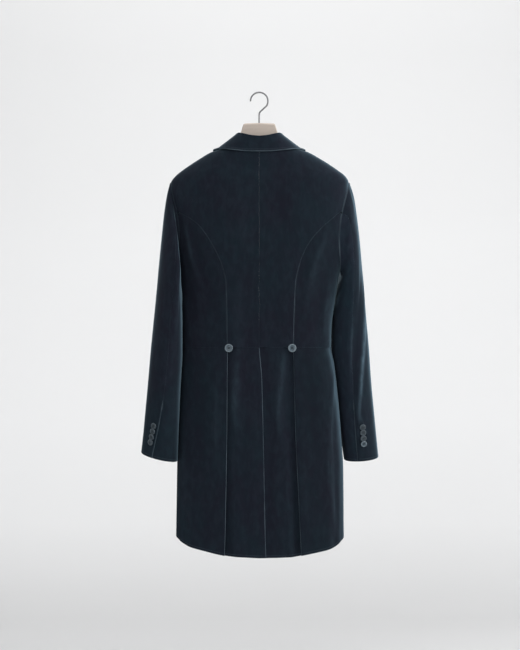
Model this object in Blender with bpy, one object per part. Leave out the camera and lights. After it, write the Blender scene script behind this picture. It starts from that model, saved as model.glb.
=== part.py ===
"""Velvet morning coat hanging on a wooden hanger, modelled in metres with +Z up.

The back of the coat faces -Y, the wearer's right is +X and the wearer's left is -X. The origin is where a
rail touches the inside of the hook. The cloth follows one form, a ring at each height, and every panel is a
wall on that form between its own seams. Tables are in millimetres.
"""
from collections import namedtuple
from math import atan2, cos, degrees, hypot, pi, radians, sin, sqrt

import bmesh
import bpy
from mathutils import Vector

MM = 0.001

# Cloth and seams
BODY_CLOTH = 2.5 * MM
SLEEVE_CLOTH = 2.2 * MM
SKIRT_CLOTH = 2.2 * MM
COLLAR_CLOTH = 2.2 * MM
SEAM_GAP = 0.3 * MM
LAYER_GAP = 0.8 * MM
STEEPEST_SEAM = 4
ANGLE_STEP = 0.002
HEIGHT_STEP = 0.2 * MM

# Heights below the rail
NECK_SIDE_Z = -122 * MM
NECK_BACK_DROP = 10 * MM
SHOULDER_Z = -215 * MM
UNDERARM_Z = -432 * MM
WAIST_Z = -611 * MM

# The form under the cloth: half-widths to the wearer's left and right, depth of the back and of the front
SQUARENESS = 2.6
Level = namedtuple("Level", "z left right back front")
FORM = [
    Level(-122, 62, 62, 52, 46),
    Level(-130, 80, 81, 57, 50),
    Level(-137.5, 101, 103, 60.5, 53.5),
    Level(-142, 115, 117, 63, 57),
    Level(-157, 141, 144.5, 67, 61),
    Level(-171, 163, 167.5, 70, 65),
    Level(-185.5, 184, 188.5, 73, 69),
    Level(-200, 201.5, 207, 76, 72),
    Level(-215, 212, 215, 78, 75),
    Level(-250, 214, 215.5, 81, 79),
    Level(-300, 212, 213, 83, 82),
    Level(-350, 208, 208, 83, 83),
    Level(-400, 201, 200.5, 81, 83),
    Level(-432, 195, 193.5, 79, 82),
    Level(-500, 190, 182.5, 73, 78),
    Level(-560, 188, 174.5, 68, 74),
    Level(-611, 187, 173, 66, 72),
    Level(-650, 188, 180, 67, 72),
    Level(-700, 190, 186, 69, 73),
    Level(-770, 193, 193, 71, 74),
    Level(-833, 195.5, 197.5, 73, 75),
    Level(-900, 196.5, 201.5, 75, 76),
    Level(-1000, 197.5, 201.8, 76, 77),
    Level(-1125, 198.5, 201.5, 77, 78),
]

# Armhole: an oval on the form, opened this far from the shoulder line to the back and to the front
ARMHOLE_BACK = radians(31)
ARMHOLE_FRONT = radians(33)
ARMHOLE_STEPS = 10

# Row heights of the body panels above the shoulder point, where the back seam curves, and below the underarm
NECK_ROWS = [-142, -157, -171, -185.5, -200]
SEAM_ROWS = [-299, -310]
SIDE_BODY_TIP = 1.5 * MM
WAIST_ROWS = [-458, -490, -525, -560, -586]
TIP_ROW = 4

# Curved seam between the back and the side body, from the armhole to the waist button
SeamPoint = namedtuple("SeamPoint", "z left right")
BACK_SEAM = [
    SeamPoint(-289.9, 190, 189),
    SeamPoint(-299, 171, 180),
    SeamPoint(-310, 155, 167),
    SeamPoint(-323.5, 140.5, 151.5),
    SeamPoint(-357.1, 117, 122),
    SeamPoint(-387.3, 100.5, 106),
    SeamPoint(-411.3, 90, 97),
    SeamPoint(-458, 79.5, 87.5),
    SeamPoint(-525, 78, 84.5),
    SeamPoint(-611, 77, 82),
]

# Inner edge of each front: down the neck, along the roll line, then past the centre by the lap
EdgePoint = namedtuple("EdgePoint", "z out lap")
FRONT_EDGE = [
    EdgePoint(-122, 60, 0),
    EdgePoint(-145, 62.5, 0),
    EdgePoint(-180, 62.5, 0),
    EdgePoint(-545, 1.5, 0),
    EdgePoint(-575, 0, 18),
    EdgePoint(-611, 0, 18),
]
NECK_CORNER = radians(9)
BACK_COLUMNS = 8
SIDE_COLUMNS = 7
FRONT_COLUMNS = 8
LAP_TOP_Z = -520 * MM
LAP_RAMP_FROM = 44 * MM
LAP_RAMP_TO = 24 * MM

# Lapel: from the gorge line down to its foot, how far its free edge lies out from the centre
LapelRow = namedtuple("LapelRow", "roll_z edge_out edge_z")
LAPEL = [
    LapelRow(-175.5, 142, -236.5),
    LapelRow(-215, 137, -262),
    LapelRow(-265, 124, -306),
    LapelRow(-330, 101, -365),
    LapelRow(-400, 76, -426),
    LapelRow(-465, 49, -482),
    LapelRow(-515, 23, -523),
    LapelRow(-540, 7.5, -541),
]
LAPEL_COLUMNS = 5
LAPEL_INSET = 0.5
LAPEL_CLEAR = 1.5 * MM

# Collar from the centre back to the gorge: foot of the stand, top of the fold and free edge of the fall
CollarPoint = namedtuple("CollarPoint", "at foot_x foot_y foot_z fold_x fold_y fold_z edge_x edge_y edge_z")
COLLAR = [
    CollarPoint(0, 0, -50.2, -131.6, 0, -58.5, -105, 0, -67.5, -142.5),
    CollarPoint(1, 22, -49.2, -131, 20, -57.5, -103, 28, -67, -142),
    CollarPoint(2, 42, -41.5, -128.2, 38, -50, -98.8, 62, -62, -138.5),
    CollarPoint(3, 54, -26, -124.6, 49, -33, -96.5, 89, -46, -135),
    CollarPoint(4, 59.2, -6, -121.6, 54.5, -8, -98.5, 104, -14, -136),
    CollarPoint(5, 58, 17, -122.5, 57, 16, -108, 108, 20, -143),
    CollarPoint(6, 58, 37, -131, 58, 38, -124, 108, 44, -154),
    CollarPoint(7, 58.5, 52, -148, 60, 55, -142, 106, 62, -173),
    CollarPoint(8, 59, 63, -171, 60.5, 69, -170, 98, 70, -199.5),
]
FALL_SHARES = (0, 0.33, 0.67, 1)
COLLAR_CLEAR_BACK = 1.1 * MM
COLLAR_CLEAR_FRONT = 2.6 * MM
COLLAR_STATIONS = 12

# Pleats and vent of the skirts
PLEAT_RETURN = 25 * MM
PLEAT_TURN_STEPS = 4
VENT_LAP = 38 * MM
VENT_SINK_FROM = 32 * MM
VENT_SINK_TO = 4 * MM
FLUTE_SHARES = (0.2, 0.4, 0.6, 0.8, 1)
UPPER_LAP_SHARES = (0.25, 0.5, 0.75, 1)
UNDER_LAP_SHARES = (0.16, 0.3, 0.42, 0.54, 0.66, 0.82, 1)
SIDE_FOLD_ANGLE = radians(25)
BACK_FOLD_ANGLE = radians(14)
FLUTE_WIDTH = 29 * MM
Fold = namedtuple("Fold", "z left right vent")
FOLDS = [
    Fold(-611, 75.5, 81.5, 0.5),
    Fold(-690, 76, 83.5, 7),
    Fold(-833, 77, 87.5, 10.5),
    Fold(-930, 78.5, 92, 12.5),
    Fold(-1075, 81.5, 99, 15.5),
    Fold(-1125, 83, 101.5, 17),
]
Recess = namedtuple("Recess", "down depth")
PLEAT_RECESS = [Recess(0, 0), Recess(0.3, 2), Recess(0.7, 5), Recess(1, 8)]

# Hem height by the angle round the form: it falls to the back, and the front edge is cut away to the waist
HemPoint = namedtuple("HemPoint", "angle left right")
HEM = [
    HemPoint(0, -1114, -1114),
    HemPoint(20, -1110, -1112),
    HemPoint(40, -1096, -1101),
    HemPoint(57, -1084, -1090),
    HemPoint(72, -1069, -1073),
    HemPoint(90, -1050, -1050),
    HemPoint(102, -1028, -1028),
    HemPoint(115, -975, -975),
    HemPoint(128, -900, -900),
    HemPoint(142, -805, -805),
    HemPoint(155, -715, -715),
    HemPoint(168, -650, -650),
    HemPoint(180, -622, -622),
]
SIDE_SKIRT_COLUMNS = 19
SKIRT_ROWS = 11
SKIRT_FRONT_OUT = 2 * MM

# Soft flutes of the side skirts: angle round the form, its spread and how far it stands out at the hem
Flute = namedtuple("Flute", "angle spread depth")
FLUTES = [
    Flute(58, 9, -3.0),
    Flute(76, 8, 3.5),
    Flute(101, 11, -3.5),
    Flute(126, 12, 4.0),
    Flute(149, 11, -3.0),
]

# Sleeve rings from the shoulder down: outer and inner end, middle and half-size front to back, yaw, twist,
# and how far the back of the ring bulges inwards over the coat
Ring = namedtuple("Ring", "outer outer_z inner inner_z y half yaw twist tuck")
SLEEVE_LEFT = [
    Ring(216.5, -224, 197, -436, -5, 50, 0, 0, 9),
    Ring(222, -248, 197.5, -440, -12, 58, 3, 0, 12),
    Ring(228, -290, 196, -446, -19, 64, 5, -2, 13),
    Ring(233, -345, 192.5, -457, -26, 68, 8, -4, 10),
    Ring(238.5, -405, 189, -474, -31, 69, 9, -6, 6),
    Ring(244, -465, 187, -503, -33, 68, 10, -8, 3),
    Ring(251, -535, 185, -549, -33, 65, 10, -10, 0),
    Ring(259, -612, 184.5, -621, -32, 62, 9, -12, 0),
    Ring(266, -690, 188.5, -703, -31, 58, 7, -13, 0),
    Ring(274, -775, 192, -789, -32, 52, 4, -9, 0),
    Ring(283, -863, 195, -883, -34, 44.5, 0, 4, 0),
]
SLEEVE_RIGHT = [
    Ring(220, -224, 195.5, -436, 4, 50, 0, 0, 0),
    Ring(227.5, -248, 196.5, -440, 10, 57, -3, -3, 0),
    Ring(234, -290, 195, -446, 17, 62, -5, -6, 0),
    Ring(240, -345, 191, -457, 22, 65, -7, -9, 0),
    Ring(245, -405, 186.5, -474, 26, 66, -8, -12, 0),
    Ring(250, -465, 180.5, -503, 30, 65, -9, -15, 0),
    Ring(257, -535, 173, -549, 34, 61, -9, -19, 0),
    Ring(264.5, -612, 172, -621, 37, 58, -8, -23, 0),
    Ring(270, -690, 182, -703, 39, 56, -6, -27, 0),
    Ring(278, -775, 191, -789, 39, 50.5, -3, -30, 0),
    Ring(288, -876, 204.5, -882, 39, 44, 0, -32, 0),
]
SLEEVE_HEAD_RISE = 1.4 * MM
CUFF_SLANT = 6.5 * MM
HIND_SEAM_COLUMN = 1
FORE_SEAM_COLUMN = 12

# Buttons: radius, thickness and the depth of the dish
ButtonSize = namedtuple("ButtonSize", "radius thick dish sides")
LARGE_BUTTON = ButtonSize(10 * MM, 3.6 * MM, 0.9 * MM, 20)
SMALL_BUTTON = ButtonSize(7.5 * MM, 2.6 * MM, 0.7 * MM, 14)
BUTTON_SEAT = 0.35 * MM
WAIST_BUTTON_SEAT = 0.55 * MM
CUFF_BUTTON_SEAT = 0.525 * MM
WAIST_BUTTON_Z = -612.5 * MM
WAIST_BUTTON_OUT = {"left": 72.5 * MM, "right": 78.5 * MM}
FRONT_BUTTON_Z = -589 * MM
CUFF_BUTTONS = 4
CUFF_BUTTON_PITCH = 13.4 * MM
CUFF_BUTTON_TILT = radians(13)
CUFF_BUTTON_UP = {"left": 36 * MM, "right": 42 * MM}
CUFF_BUTTON_IN = {"left": 11.5 * MM, "right": 18 * MM}

# Hanger: top edge, bottom edge and half-thickness along its half-length
HangerSection = namedtuple("HangerSection", "x top bottom half")
HANGER = [
    HangerSection(0, -72, -128, 7.5),
    HangerSection(20, -72.4, -129, 7.6),
    HangerSection(36, -73.2, -131, 7.8),
    HangerSection(38.4, -76, -132, 7.9),
    HangerSection(41, -84, -132.5, 8),
    HangerSection(44.6, -96, -133, 8.2),
    HangerSection(51, -111, -136, 8.6),
    HangerSection(62, -131.5, -145, 9.5),
    HangerSection(85, -134.3, -160, 11.5),
    HangerSection(115, -146, -179, 14),
    HangerSection(150, -167.3, -201, 17),
    HangerSection(180, -188.2, -221, 19),
    HangerSection(194, -199.6, -229, 18),
]
HANGER_ROUNDING = 3 * MM
WIRE_RADIUS = 1.9 * MM
HOOK_RADIUS = 21 * MM
STEM_BORE_RADIUS = 2.3 * MM
STEM_DEPTH = 22 * MM
STEM_CLEAR = 2 * MM
HOOK_SIDES = 8
BORE_SIDES = 16

# Hook: an arc over the rail from its tip, then a straight run to the elbow above the stem
HOOK_TIP = radians(182)
HOOK_STEP = radians(12)
HOOK_POINTS = 19
ELBOW_Z = -47 * MM
ELBOW_RUN = (0.5, 0.86)
ELBOW_BEND = [(0.4 * MM, -48.5 * MM), (0, -53 * MM)]

# Colours as linear values, with roughness and metallic
Finish = namedtuple("Finish", "colour roughness metallic")
VELVET = Finish((0.010, 0.017, 0.024), 0.85, 0.0)
HORN = Finish((0.065, 0.105, 0.135), 0.35, 0.0)
WOOD = Finish((0.45, 0.37, 0.31), 0.55, 0.0)
STEEL = Finish((0.55, 0.55, 0.54), 0.28, 1.0)

SIDES = {"left": -1, "right": 1}


def through(table, field, at, key="z"):
    """Value of one column at a place between the table's rows, on a smooth curve that never overshoots."""
    rows = sorted(table, key=lambda row: getattr(row, key))
    xs = [getattr(row, key) for row in rows]
    ys = [getattr(row, field) for row in rows]
    at = min(max(at, xs[0]), xs[-1])
    k = max(i for i in range(len(xs) - 1) if xs[i] <= at)
    steep = [(b - a) / (q - p) for a, b, p, q in zip(ys, ys[1:], xs, xs[1:])]

    def slope(i):
        if i == 0:
            return steep[0]
        if i == len(xs) - 1:
            return steep[-1]
        before, after = steep[i - 1], steep[i]
        return 0.0 if before * after <= 0 else 2 * before * after / (before + after)

    span = xs[k + 1] - xs[k]
    u = (at - xs[k]) / span
    return (
        ys[k] * (1 + 2 * u) * (1 - u) ** 2
        + ys[k + 1] * u * u * (3 - 2 * u)
        + span * slope(k) * u * (1 - u) ** 2
        - span * slope(k + 1) * u * u * (1 - u)
    )


def smooth_step(u):
    u = min(max(u, 0.0), 1.0)
    return u * u * (3 - 2 * u)


def half_width(z, side):
    return through(FORM, "left" if side < 0 else "right", z / MM) * MM


def form_point(angle, z):
    """Point of the form. The angle is 0 at the centre back, +90 degrees at the right and 180 at the front."""
    c, s = cos(angle), sin(angle)
    reach = (abs(c) ** SQUARENESS + abs(s) ** SQUARENESS) ** (-1 / SQUARENESS)
    depth = through(FORM, "back" if c > 0 else "front", z / MM) * MM
    return Vector((half_width(z, s) * s * reach, -depth * c * reach, z))


def form_normal(angle, z):
    """Outward normal of the form, from two short steps along it."""
    across = form_point(angle + ANGLE_STEP, z) - form_point(angle - ANGLE_STEP, z)
    down = form_point(angle, z - HEIGHT_STEP) - form_point(angle, z + HEIGHT_STEP)
    return down.cross(across).normalized()


def angle_at(x, z, front=False):
    """Angle at which the form is at this x, on its back or its front."""
    ratio = min(abs(x) / half_width(z, x), 1.0)
    turn = atan2(ratio, (1 - ratio ** SQUARENESS) ** (1 / SQUARENESS))
    turn = pi - turn if front else turn
    return turn if x >= 0 else -turn


def wall(name, outer, thickness, finish, normals=None):
    """Closed cloth wall inside a grid of outer points. Rows run down and columns run with the angle."""
    rows, columns = len(outer), len(outer[0])
    mesh = bmesh.new()
    faces = [[mesh.verts.new(p) for p in row] for row in outer]
    inner = []
    for i in range(rows):
        line = []
        for j in range(columns):
            if normals:
                normal = normals[i][j]
            else:
                down = outer[min(i + 1, rows - 1)][j] - outer[max(i - 1, 0)][j]
                if 0 < j < columns - 1:
                    across = (outer[i][j + 1] - outer[i][j]).normalized()
                    across += (outer[i][j] - outer[i][j - 1]).normalized()
                else:
                    across = outer[i][min(j + 1, columns - 1)] - outer[i][max(j - 1, 0)]
                normal = down.cross(across).normalized()
            line.append(mesh.verts.new(outer[i][j] - normal * thickness))
        inner.append(line)
    for i in range(rows - 1):
        for j in range(columns - 1):
            mesh.faces.new((faces[i][j], faces[i + 1][j], faces[i + 1][j + 1], faces[i][j + 1]))
            mesh.faces.new((inner[i][j], inner[i][j + 1], inner[i + 1][j + 1], inner[i + 1][j]))
    for i in range(rows - 1):
        mesh.faces.new((faces[i][0], inner[i][0], inner[i + 1][0], faces[i + 1][0]))
        mesh.faces.new((faces[i][-1], faces[i + 1][-1], inner[i + 1][-1], inner[i][-1]))
    for j in range(columns - 1):
        mesh.faces.new((faces[0][j], faces[0][j + 1], inner[0][j + 1], inner[0][j]))
        mesh.faces.new((faces[-1][j], inner[-1][j], inner[-1][j + 1], faces[-1][j + 1]))
    return add_object(name, mesh, finish)


def place_object(name, data, finish):
    """Object in the scene, with a material of its own."""
    material = bpy.data.materials.new(name)
    material.use_nodes = True
    shader = material.node_tree.nodes["Principled BSDF"]
    shader.inputs["Base Color"].default_value = (*finish.colour, 1)
    shader.inputs["Roughness"].default_value = finish.roughness
    shader.inputs["Metallic"].default_value = finish.metallic
    data.materials.append(material)
    thing = bpy.data.objects.new(name, data)
    bpy.context.collection.objects.link(thing)
    return thing


def add_object(name, mesh, finish, smooth_below=50):
    """Object from a bmesh, shaded smooth between gentle faces."""
    bmesh.ops.recalc_face_normals(mesh, faces=mesh.faces)
    data = bpy.data.meshes.new(name)
    mesh.to_mesh(data)
    mesh.free()
    data.shade_smooth()
    data.set_sharp_from_angle(angle=radians(smooth_below))
    return place_object(name, data, finish)


# Rows shared by all body panels, so that neighbours have their corners at the same heights
def armhole_height(k):
    lean = cos(pi * k / ARMHOLE_STEPS)
    return SHOULDER_Z - (SHOULDER_Z - UNDERARM_Z) * (1 - lean) / 2


ARMHOLE_ROWS = [armhole_height(k) for k in range(ARMHOLE_STEPS + 1)]
TIP_Z = ARMHOLE_ROWS[TIP_ROW]
UPPER_ROWS = [z * MM for z in NECK_ROWS]
LOWER_ROWS = [z * MM for z in WAIST_ROWS] + [WAIST_Z + SEAM_GAP / 2]
FRONT_ROWS = [None] + UPPER_ROWS + ARMHOLE_ROWS + LOWER_ROWS
CURVE_ROWS = sorted(ARMHOLE_ROWS + [z * MM for z in SEAM_ROWS], reverse=True)
BACK_ROWS = [None] + UPPER_ROWS + CURVE_ROWS + LOWER_ROWS
SIDE_BODY_ROWS = [z for z in CURVE_ROWS + LOWER_ROWS if z <= TIP_Z]


def armhole_angle(z, opened):
    """How far the armhole's edge lies from the shoulder line, straight between the armhole's corners."""
    k = max(i for i in range(ARMHOLE_STEPS) if ARMHOLE_ROWS[i] >= z or i == 0)
    high, low = ARMHOLE_ROWS[k], ARMHOLE_ROWS[k + 1]
    share = (high - z) / (high - low)
    return opened * (sin(pi * k / ARMHOLE_STEPS) * (1 - share) + sin(pi * (k + 1) / ARMHOLE_STEPS) * share)


def seam_angle(z, side):
    """Angle of the curved back seam, which starts at the armhole's edge."""
    if z >= TIP_Z:
        return side * (pi / 2 - armhole_angle(z, ARMHOLE_BACK) - SIDE_BODY_TIP / half_width(z, side))
    return angle_at(side * through(BACK_SEAM, "left" if side < 0 else "right", z / MM) * MM, z)


def half_gap_angle(boundary, k, rows):
    """Angle of half a seam gap at one row of a seam, measured square to the seam."""
    here = form_point(boundary(rows[k]), rows[k])
    before, after = max(k - 1, 0), min(k + 1, len(rows) - 1)
    along = form_point(boundary(rows[after]), rows[after]) - form_point(boundary(rows[before]), rows[before])
    sideways = hypot(along.x, along.y)
    slope = min(sideways / abs(along.z), STEEPEST_SEAM)
    stride = (form_point(boundary(rows[k]) + ANGLE_STEP, rows[k]) - here).length / ANGLE_STEP
    return SEAM_GAP / 2 * sqrt(1 + slope ** 2) / stride


def neck_height(angle):
    """Height of the neck seam, lowest at the centre back."""
    return NECK_SIDE_Z - NECK_BACK_DROP * abs(cos(angle)) ** 2


def panel_grid(start, end, rows, columns, lift=None):
    """Grid between two edges given as angles by row number. A lift moves points out from the form."""
    points, normals = [], []
    for k, z in enumerate(rows):
        a, b = start(k), end(k)
        line, line_normals = [], []
        for j in range(columns + 1):
            angle = a + (b - a) * j / columns
            height = neck_height(angle) if z is None else z
            normal = form_normal(angle, height)
            out = lift(angle, height) if lift else 0.0
            line.append(form_point(angle, height) + normal * out)
            line_normals.append(normal)
        points.append(line)
        normals.append(line_normals)
    return points, normals


def ridge_gap(z):
    depth = through(FORM, "back", z / MM) * MM
    return SEAM_GAP / 2 / depth


def back_panel(name, side):
    """Half of the back: centre seam, shoulder seam, armhole and the curved seam down to the waist."""

    def centre(k):
        z = NECK_SIDE_Z if BACK_ROWS[k] is None else BACK_ROWS[k]
        return side * SEAM_GAP / 2 / half_width(z, side)

    def outer(k):
        z = NECK_SIDE_Z if BACK_ROWS[k] is None else BACK_ROWS[k]
        if z >= SHOULDER_Z:
            return side * (pi / 2 - ridge_gap(z))
        if z > TIP_Z:
            return side * (pi / 2 - armhole_angle(z, ARMHOLE_BACK))
        inset = half_gap_angle(lambda h: abs(seam_angle(h, side)), SIDE_BODY_ROWS.index(z), SIDE_BODY_ROWS)
        return side * (abs(seam_angle(z, side)) - inset)

    edges = (outer, centre) if side < 0 else (centre, outer)
    points, normals = panel_grid(*edges, BACK_ROWS, BACK_COLUMNS)
    return wall(name, points, BODY_CLOTH, VELVET, normals)


def side_body_panel(name, side):
    """Side body: from the curved seam to the seam under the arm, and up to a point at the armhole."""

    def inner(k):
        z = SIDE_BODY_ROWS[k]
        inset = half_gap_angle(lambda h: abs(seam_angle(h, side)), k, SIDE_BODY_ROWS)
        return side * (abs(seam_angle(z, side)) + inset)

    def outer(k):
        z = SIDE_BODY_ROWS[k]
        if z > UNDERARM_Z:
            return side * (pi / 2 - armhole_angle(z, ARMHOLE_BACK))
        return side * (pi / 2 - ridge_gap(z))

    edges = (outer, inner) if side < 0 else (inner, outer)
    points, normals = panel_grid(*edges, SIDE_BODY_ROWS, SIDE_COLUMNS)
    return wall(name, points, BODY_CLOTH, VELVET, normals)


def front_edge_angle(z, side):
    """Angle of a front's free edge, which passes the centre where the fronts lap."""
    out = through(FRONT_EDGE, "out", z / MM) * MM
    if out > SEAM_GAP:
        return side * abs(angle_at(side * out, z, front=True))
    lap = through(FRONT_EDGE, "lap", z / MM) * MM
    return side * (2 * pi - abs(angle_at(-side * lap, z, front=True)))


def lap_sink(angle, z, side):
    """The right front sinks under the left one where they lap."""
    if side < 0 or z > LAP_TOP_Z:
        return 0.0
    x = form_point(angle, z).x
    depth = BODY_CLOTH + LAYER_GAP
    return -depth * smooth_step((LAP_RAMP_FROM - x) / (LAP_RAMP_FROM - LAP_RAMP_TO))


def front_panel(name, side):
    """Front: shoulder seam, armhole, seam under the arm, and the edge from the neck down the roll line."""

    def outer(k):
        z = NECK_SIDE_Z if FRONT_ROWS[k] is None else FRONT_ROWS[k]
        if SHOULDER_Z > z > UNDERARM_Z:
            return side * (pi / 2 + armhole_angle(z, ARMHOLE_FRONT))
        return side * (pi / 2 + ridge_gap(z))

    def edge(k):
        if FRONT_ROWS[k] is None:
            return side * (pi / 2 + NECK_CORNER)
        return front_edge_angle(FRONT_ROWS[k], side)

    edges = (edge, outer) if side < 0 else (outer, edge)
    points, normals = panel_grid(*edges, FRONT_ROWS, FRONT_COLUMNS, lambda angle, z: lap_sink(angle, z, side))
    return wall(name, points, BODY_CLOTH, VELVET, normals)


def on_front(x, z, out):
    """Point above the outer face of a front."""
    angle = angle_at(x, z, front=True)
    return form_point(angle, z) + form_normal(angle, z) * out


def lapel(name, side):
    """Lapel: turned back along the roll line, lying on the front."""
    out = COLLAR_CLOTH + LAPEL_CLEAR
    points = []
    for row in LAPEL:
        inner_out = through(FRONT_EDGE, "out", row.roll_z) + LAPEL_INSET
        line = []
        for j in range(LAPEL_COLUMNS + 1):
            share = j / LAPEL_COLUMNS
            x = (inner_out + (row.edge_out - inner_out) * share) * MM
            z = (row.roll_z + (row.edge_z - row.roll_z) * share) * MM
            line.append(on_front(side * x, z, out))
        points.append(line if side < 0 else line[::-1])
    return wall(name, points, COLLAR_CLOTH, VELVET)


def pushed_out(point, out):
    """The point itself, or moved out until it is this far above the form. The neck above the form is open."""
    side = 1 if point.x >= 0 else -1
    depth = through(FORM, "back" if point.y < 0 else "front", point.z / MM) * MM
    angle = side * atan2(abs(point.x) / half_width(point.z, side), -point.y / depth)
    normal = form_normal(angle, point.z)
    above = (point - form_point(angle, point.z)).dot(normal)
    free = max(0.0, point.z - FORM[0].z * MM)
    return point + normal * max(0.0, out - above - free)


def collar_station(u):
    """Foot, fold and edge of the collar at a place along it, from 0 at the centre back to 1 at the gorge."""
    where = u * COLLAR[-1].at
    return [
        Vector([through(COLLAR, f"{part}_{axis}", where, "at") * MM for axis in "xyz"])
        for part in ("foot", "fold", "edge")
    ]


def collar():
    """Collar: the stand rises from the neck seam, folds over and falls outside."""
    turn = COLLAR_CLOTH + LAYER_GAP / 2
    lines = []
    for k in range(-COLLAR_STATIONS, COLLAR_STATIONS + 1):
        foot, fold, edge = collar_station(abs(k) / COLLAR_STATIONS)
        up = (fold - foot).normalized()
        out = edge - fold
        out = (out - up * out.dot(up)).normalized()
        centre = fold - up * turn
        line = [foot]
        for turned in (0, 45, 90):
            a = radians(turned)
            line.append(centre - out * turn * cos(a) + up * turn * sin(a))
        clear = COLLAR_CLOTH + LAYER_GAP + (COLLAR_CLEAR_FRONT if edge.y > 0 else COLLAR_CLEAR_BACK)
        line.append(pushed_out(centre + (out + up) * turn * sin(radians(45)), clear))
        for share in FALL_SHARES:
            line.append(pushed_out((centre + out * turn).lerp(edge, share), clear))
        mirror = -1 if k < 0 else 1
        lines.append([Vector((p.x * mirror, p.y, p.z)) for p in line])
    rows = [[line[i] for line in lines] for i in range(len(lines[0]))]
    return wall("collar", rows, COLLAR_CLOTH, VELVET)


def hem_height(angle):
    return through(HEM, "left" if angle < 0 else "right", abs(degrees(angle)), "angle") * MM


def skirt_height(angle, down):
    """Height on a skirt, by the angle round the form and the share of the way down to the hem."""
    top = WAIST_Z - SEAM_GAP / 2
    return top + (hem_height(angle) - top) * down


def flute_out(angle, down):
    turn = abs(degrees(angle))
    swell = sum(f.depth * smooth_step(1 - abs(turn - f.angle) / f.spread) for f in FLUTES)
    return swell * MM * down ** 1.3


def fold_out(z, side):
    return through(FOLDS, "left" if side < 0 else "right", z / MM) * MM


def side_skirt(name, side):
    """Side skirt: its back edge turns under at the pleat, and its front edge is cut away."""
    turn = SKIRT_CLOTH + LAYER_GAP / 2
    front = pi - SKIRT_FRONT_OUT / half_width(WAIST_Z, side)
    points, normals = [], []
    for i in range(SKIRT_ROWS + 1):
        down = i / SKIRT_ROWS
        line, line_normals = [], []

        def add(angle, depth, lean):
            z = skirt_height(angle, down)
            normal = form_normal(angle, z)
            toward_centre = Vector((0, 0, 1)).cross(normal).normalized() * side * -1
            line.append(form_point(angle, z) + normal * (flute_out(angle, down) - depth))
            line_normals.append((normal * cos(lean) + toward_centre * sin(lean)).normalized())

        estimate = skirt_height(SIDE_FOLD_ANGLE, down)
        fold = fold_out(estimate, side)
        for back in (PLEAT_RETURN, PLEAT_RETURN / 2):
            add(angle_at(side * (fold + turn + back), estimate), 2 * turn, pi)
        for k in range(PLEAT_TURN_STEPS, -1, -1):
            lean = pi * k / PLEAT_TURN_STEPS
            x = fold + turn - turn * sin(lean)
            add(angle_at(side * x, estimate), turn - turn * cos(lean), lean)
        start = abs(angle_at(side * (fold + turn), estimate))
        for k in range(1, SIDE_SKIRT_COLUMNS + 1):
            add(side * (start + (front - start) * k / SIDE_SKIRT_COLUMNS), 0.0, 0.0)
        points.append(line if side > 0 else line[::-1])
        normals.append(line_normals if side > 0 else line_normals[::-1])
    return wall(name, points, SKIRT_CLOTH, VELVET, normals)


def back_skirt(name, side):
    """Back skirt: starts under the pleat, rises to the front plane and ends at the centre vent."""
    under_pleat = 2 * SKIRT_CLOTH + 2 * LAYER_GAP
    vent_sink = SKIRT_CLOTH + LAYER_GAP
    points = []
    for i in range(SKIRT_ROWS + 1):
        down = i / SKIRT_ROWS
        estimate = skirt_height(BACK_FOLD_ANGLE, down)
        fold = fold_out(estimate, side)
        vent = through(FOLDS, "vent", estimate / MM) * MM
        recess = under_pleat + through(PLEAT_RECESS, "depth", down, "down") * MM
        stops = [(side * (fold + PLEAT_RETURN), under_pleat)]
        for share in (0.5, 0.0):
            sunk = under_pleat + (recess - under_pleat) * smooth_step(1 - share)
            stops.append((side * (fold + PLEAT_RETURN * share), sunk))
        for share in FLUTE_SHARES:
            sunk = recess * (1 - smooth_step(share))
            stops.append((side * (fold - FLUTE_WIDTH * share), sunk))
        last = stops[-1][0]
        end = vent if side < 0 else vent - VENT_LAP
        for share in UPPER_LAP_SHARES if side < 0 else UNDER_LAP_SHARES:
            x = last + (end - last) * share
            sink = vent_sink * smooth_step((vent + VENT_SINK_FROM - x) / (VENT_SINK_FROM - VENT_SINK_TO))
            stops.append((x, 0.0 if side < 0 else sink))
        line = []
        for x, sunk in stops:
            angle = angle_at(x, estimate)
            z = skirt_height(angle, down)
            line.append(form_point(angle, z) - form_normal(angle, z) * sunk)
        points.append(line if side < 0 else line[::-1])
    return wall(name, points, SKIRT_CLOTH, VELVET)


def armhole_loop(side):
    """Corners of the armhole from its back edge, hind seam first, with the hole's inward directions."""
    count = 2 * ARMHOLE_STEPS
    spots = []
    for j in range(count):
        psi = 2 * pi * j / count
        lift = sin(psi)
        middle = (SHOULDER_Z + UNDERARM_Z) / 2
        z = middle + (SHOULDER_Z - middle) * lift
        at_back = cos(psi) >= 0
        opened = ARMHOLE_BACK if at_back else ARMHOLE_FRONT
        angle = pi / 2 - opened * abs(cos(psi)) * (1 if at_back else -1)
        spots.append((form_point(side * angle, z), form_normal(side * angle, z)))
    loop = []
    for j, (point, normal) in enumerate(spots):
        along = spots[(j + 1) % count][0] - spots[j - 1][0]
        into = along.cross(normal).normalized() * side
        loop.append((point, normal, into))
    return loop


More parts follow.
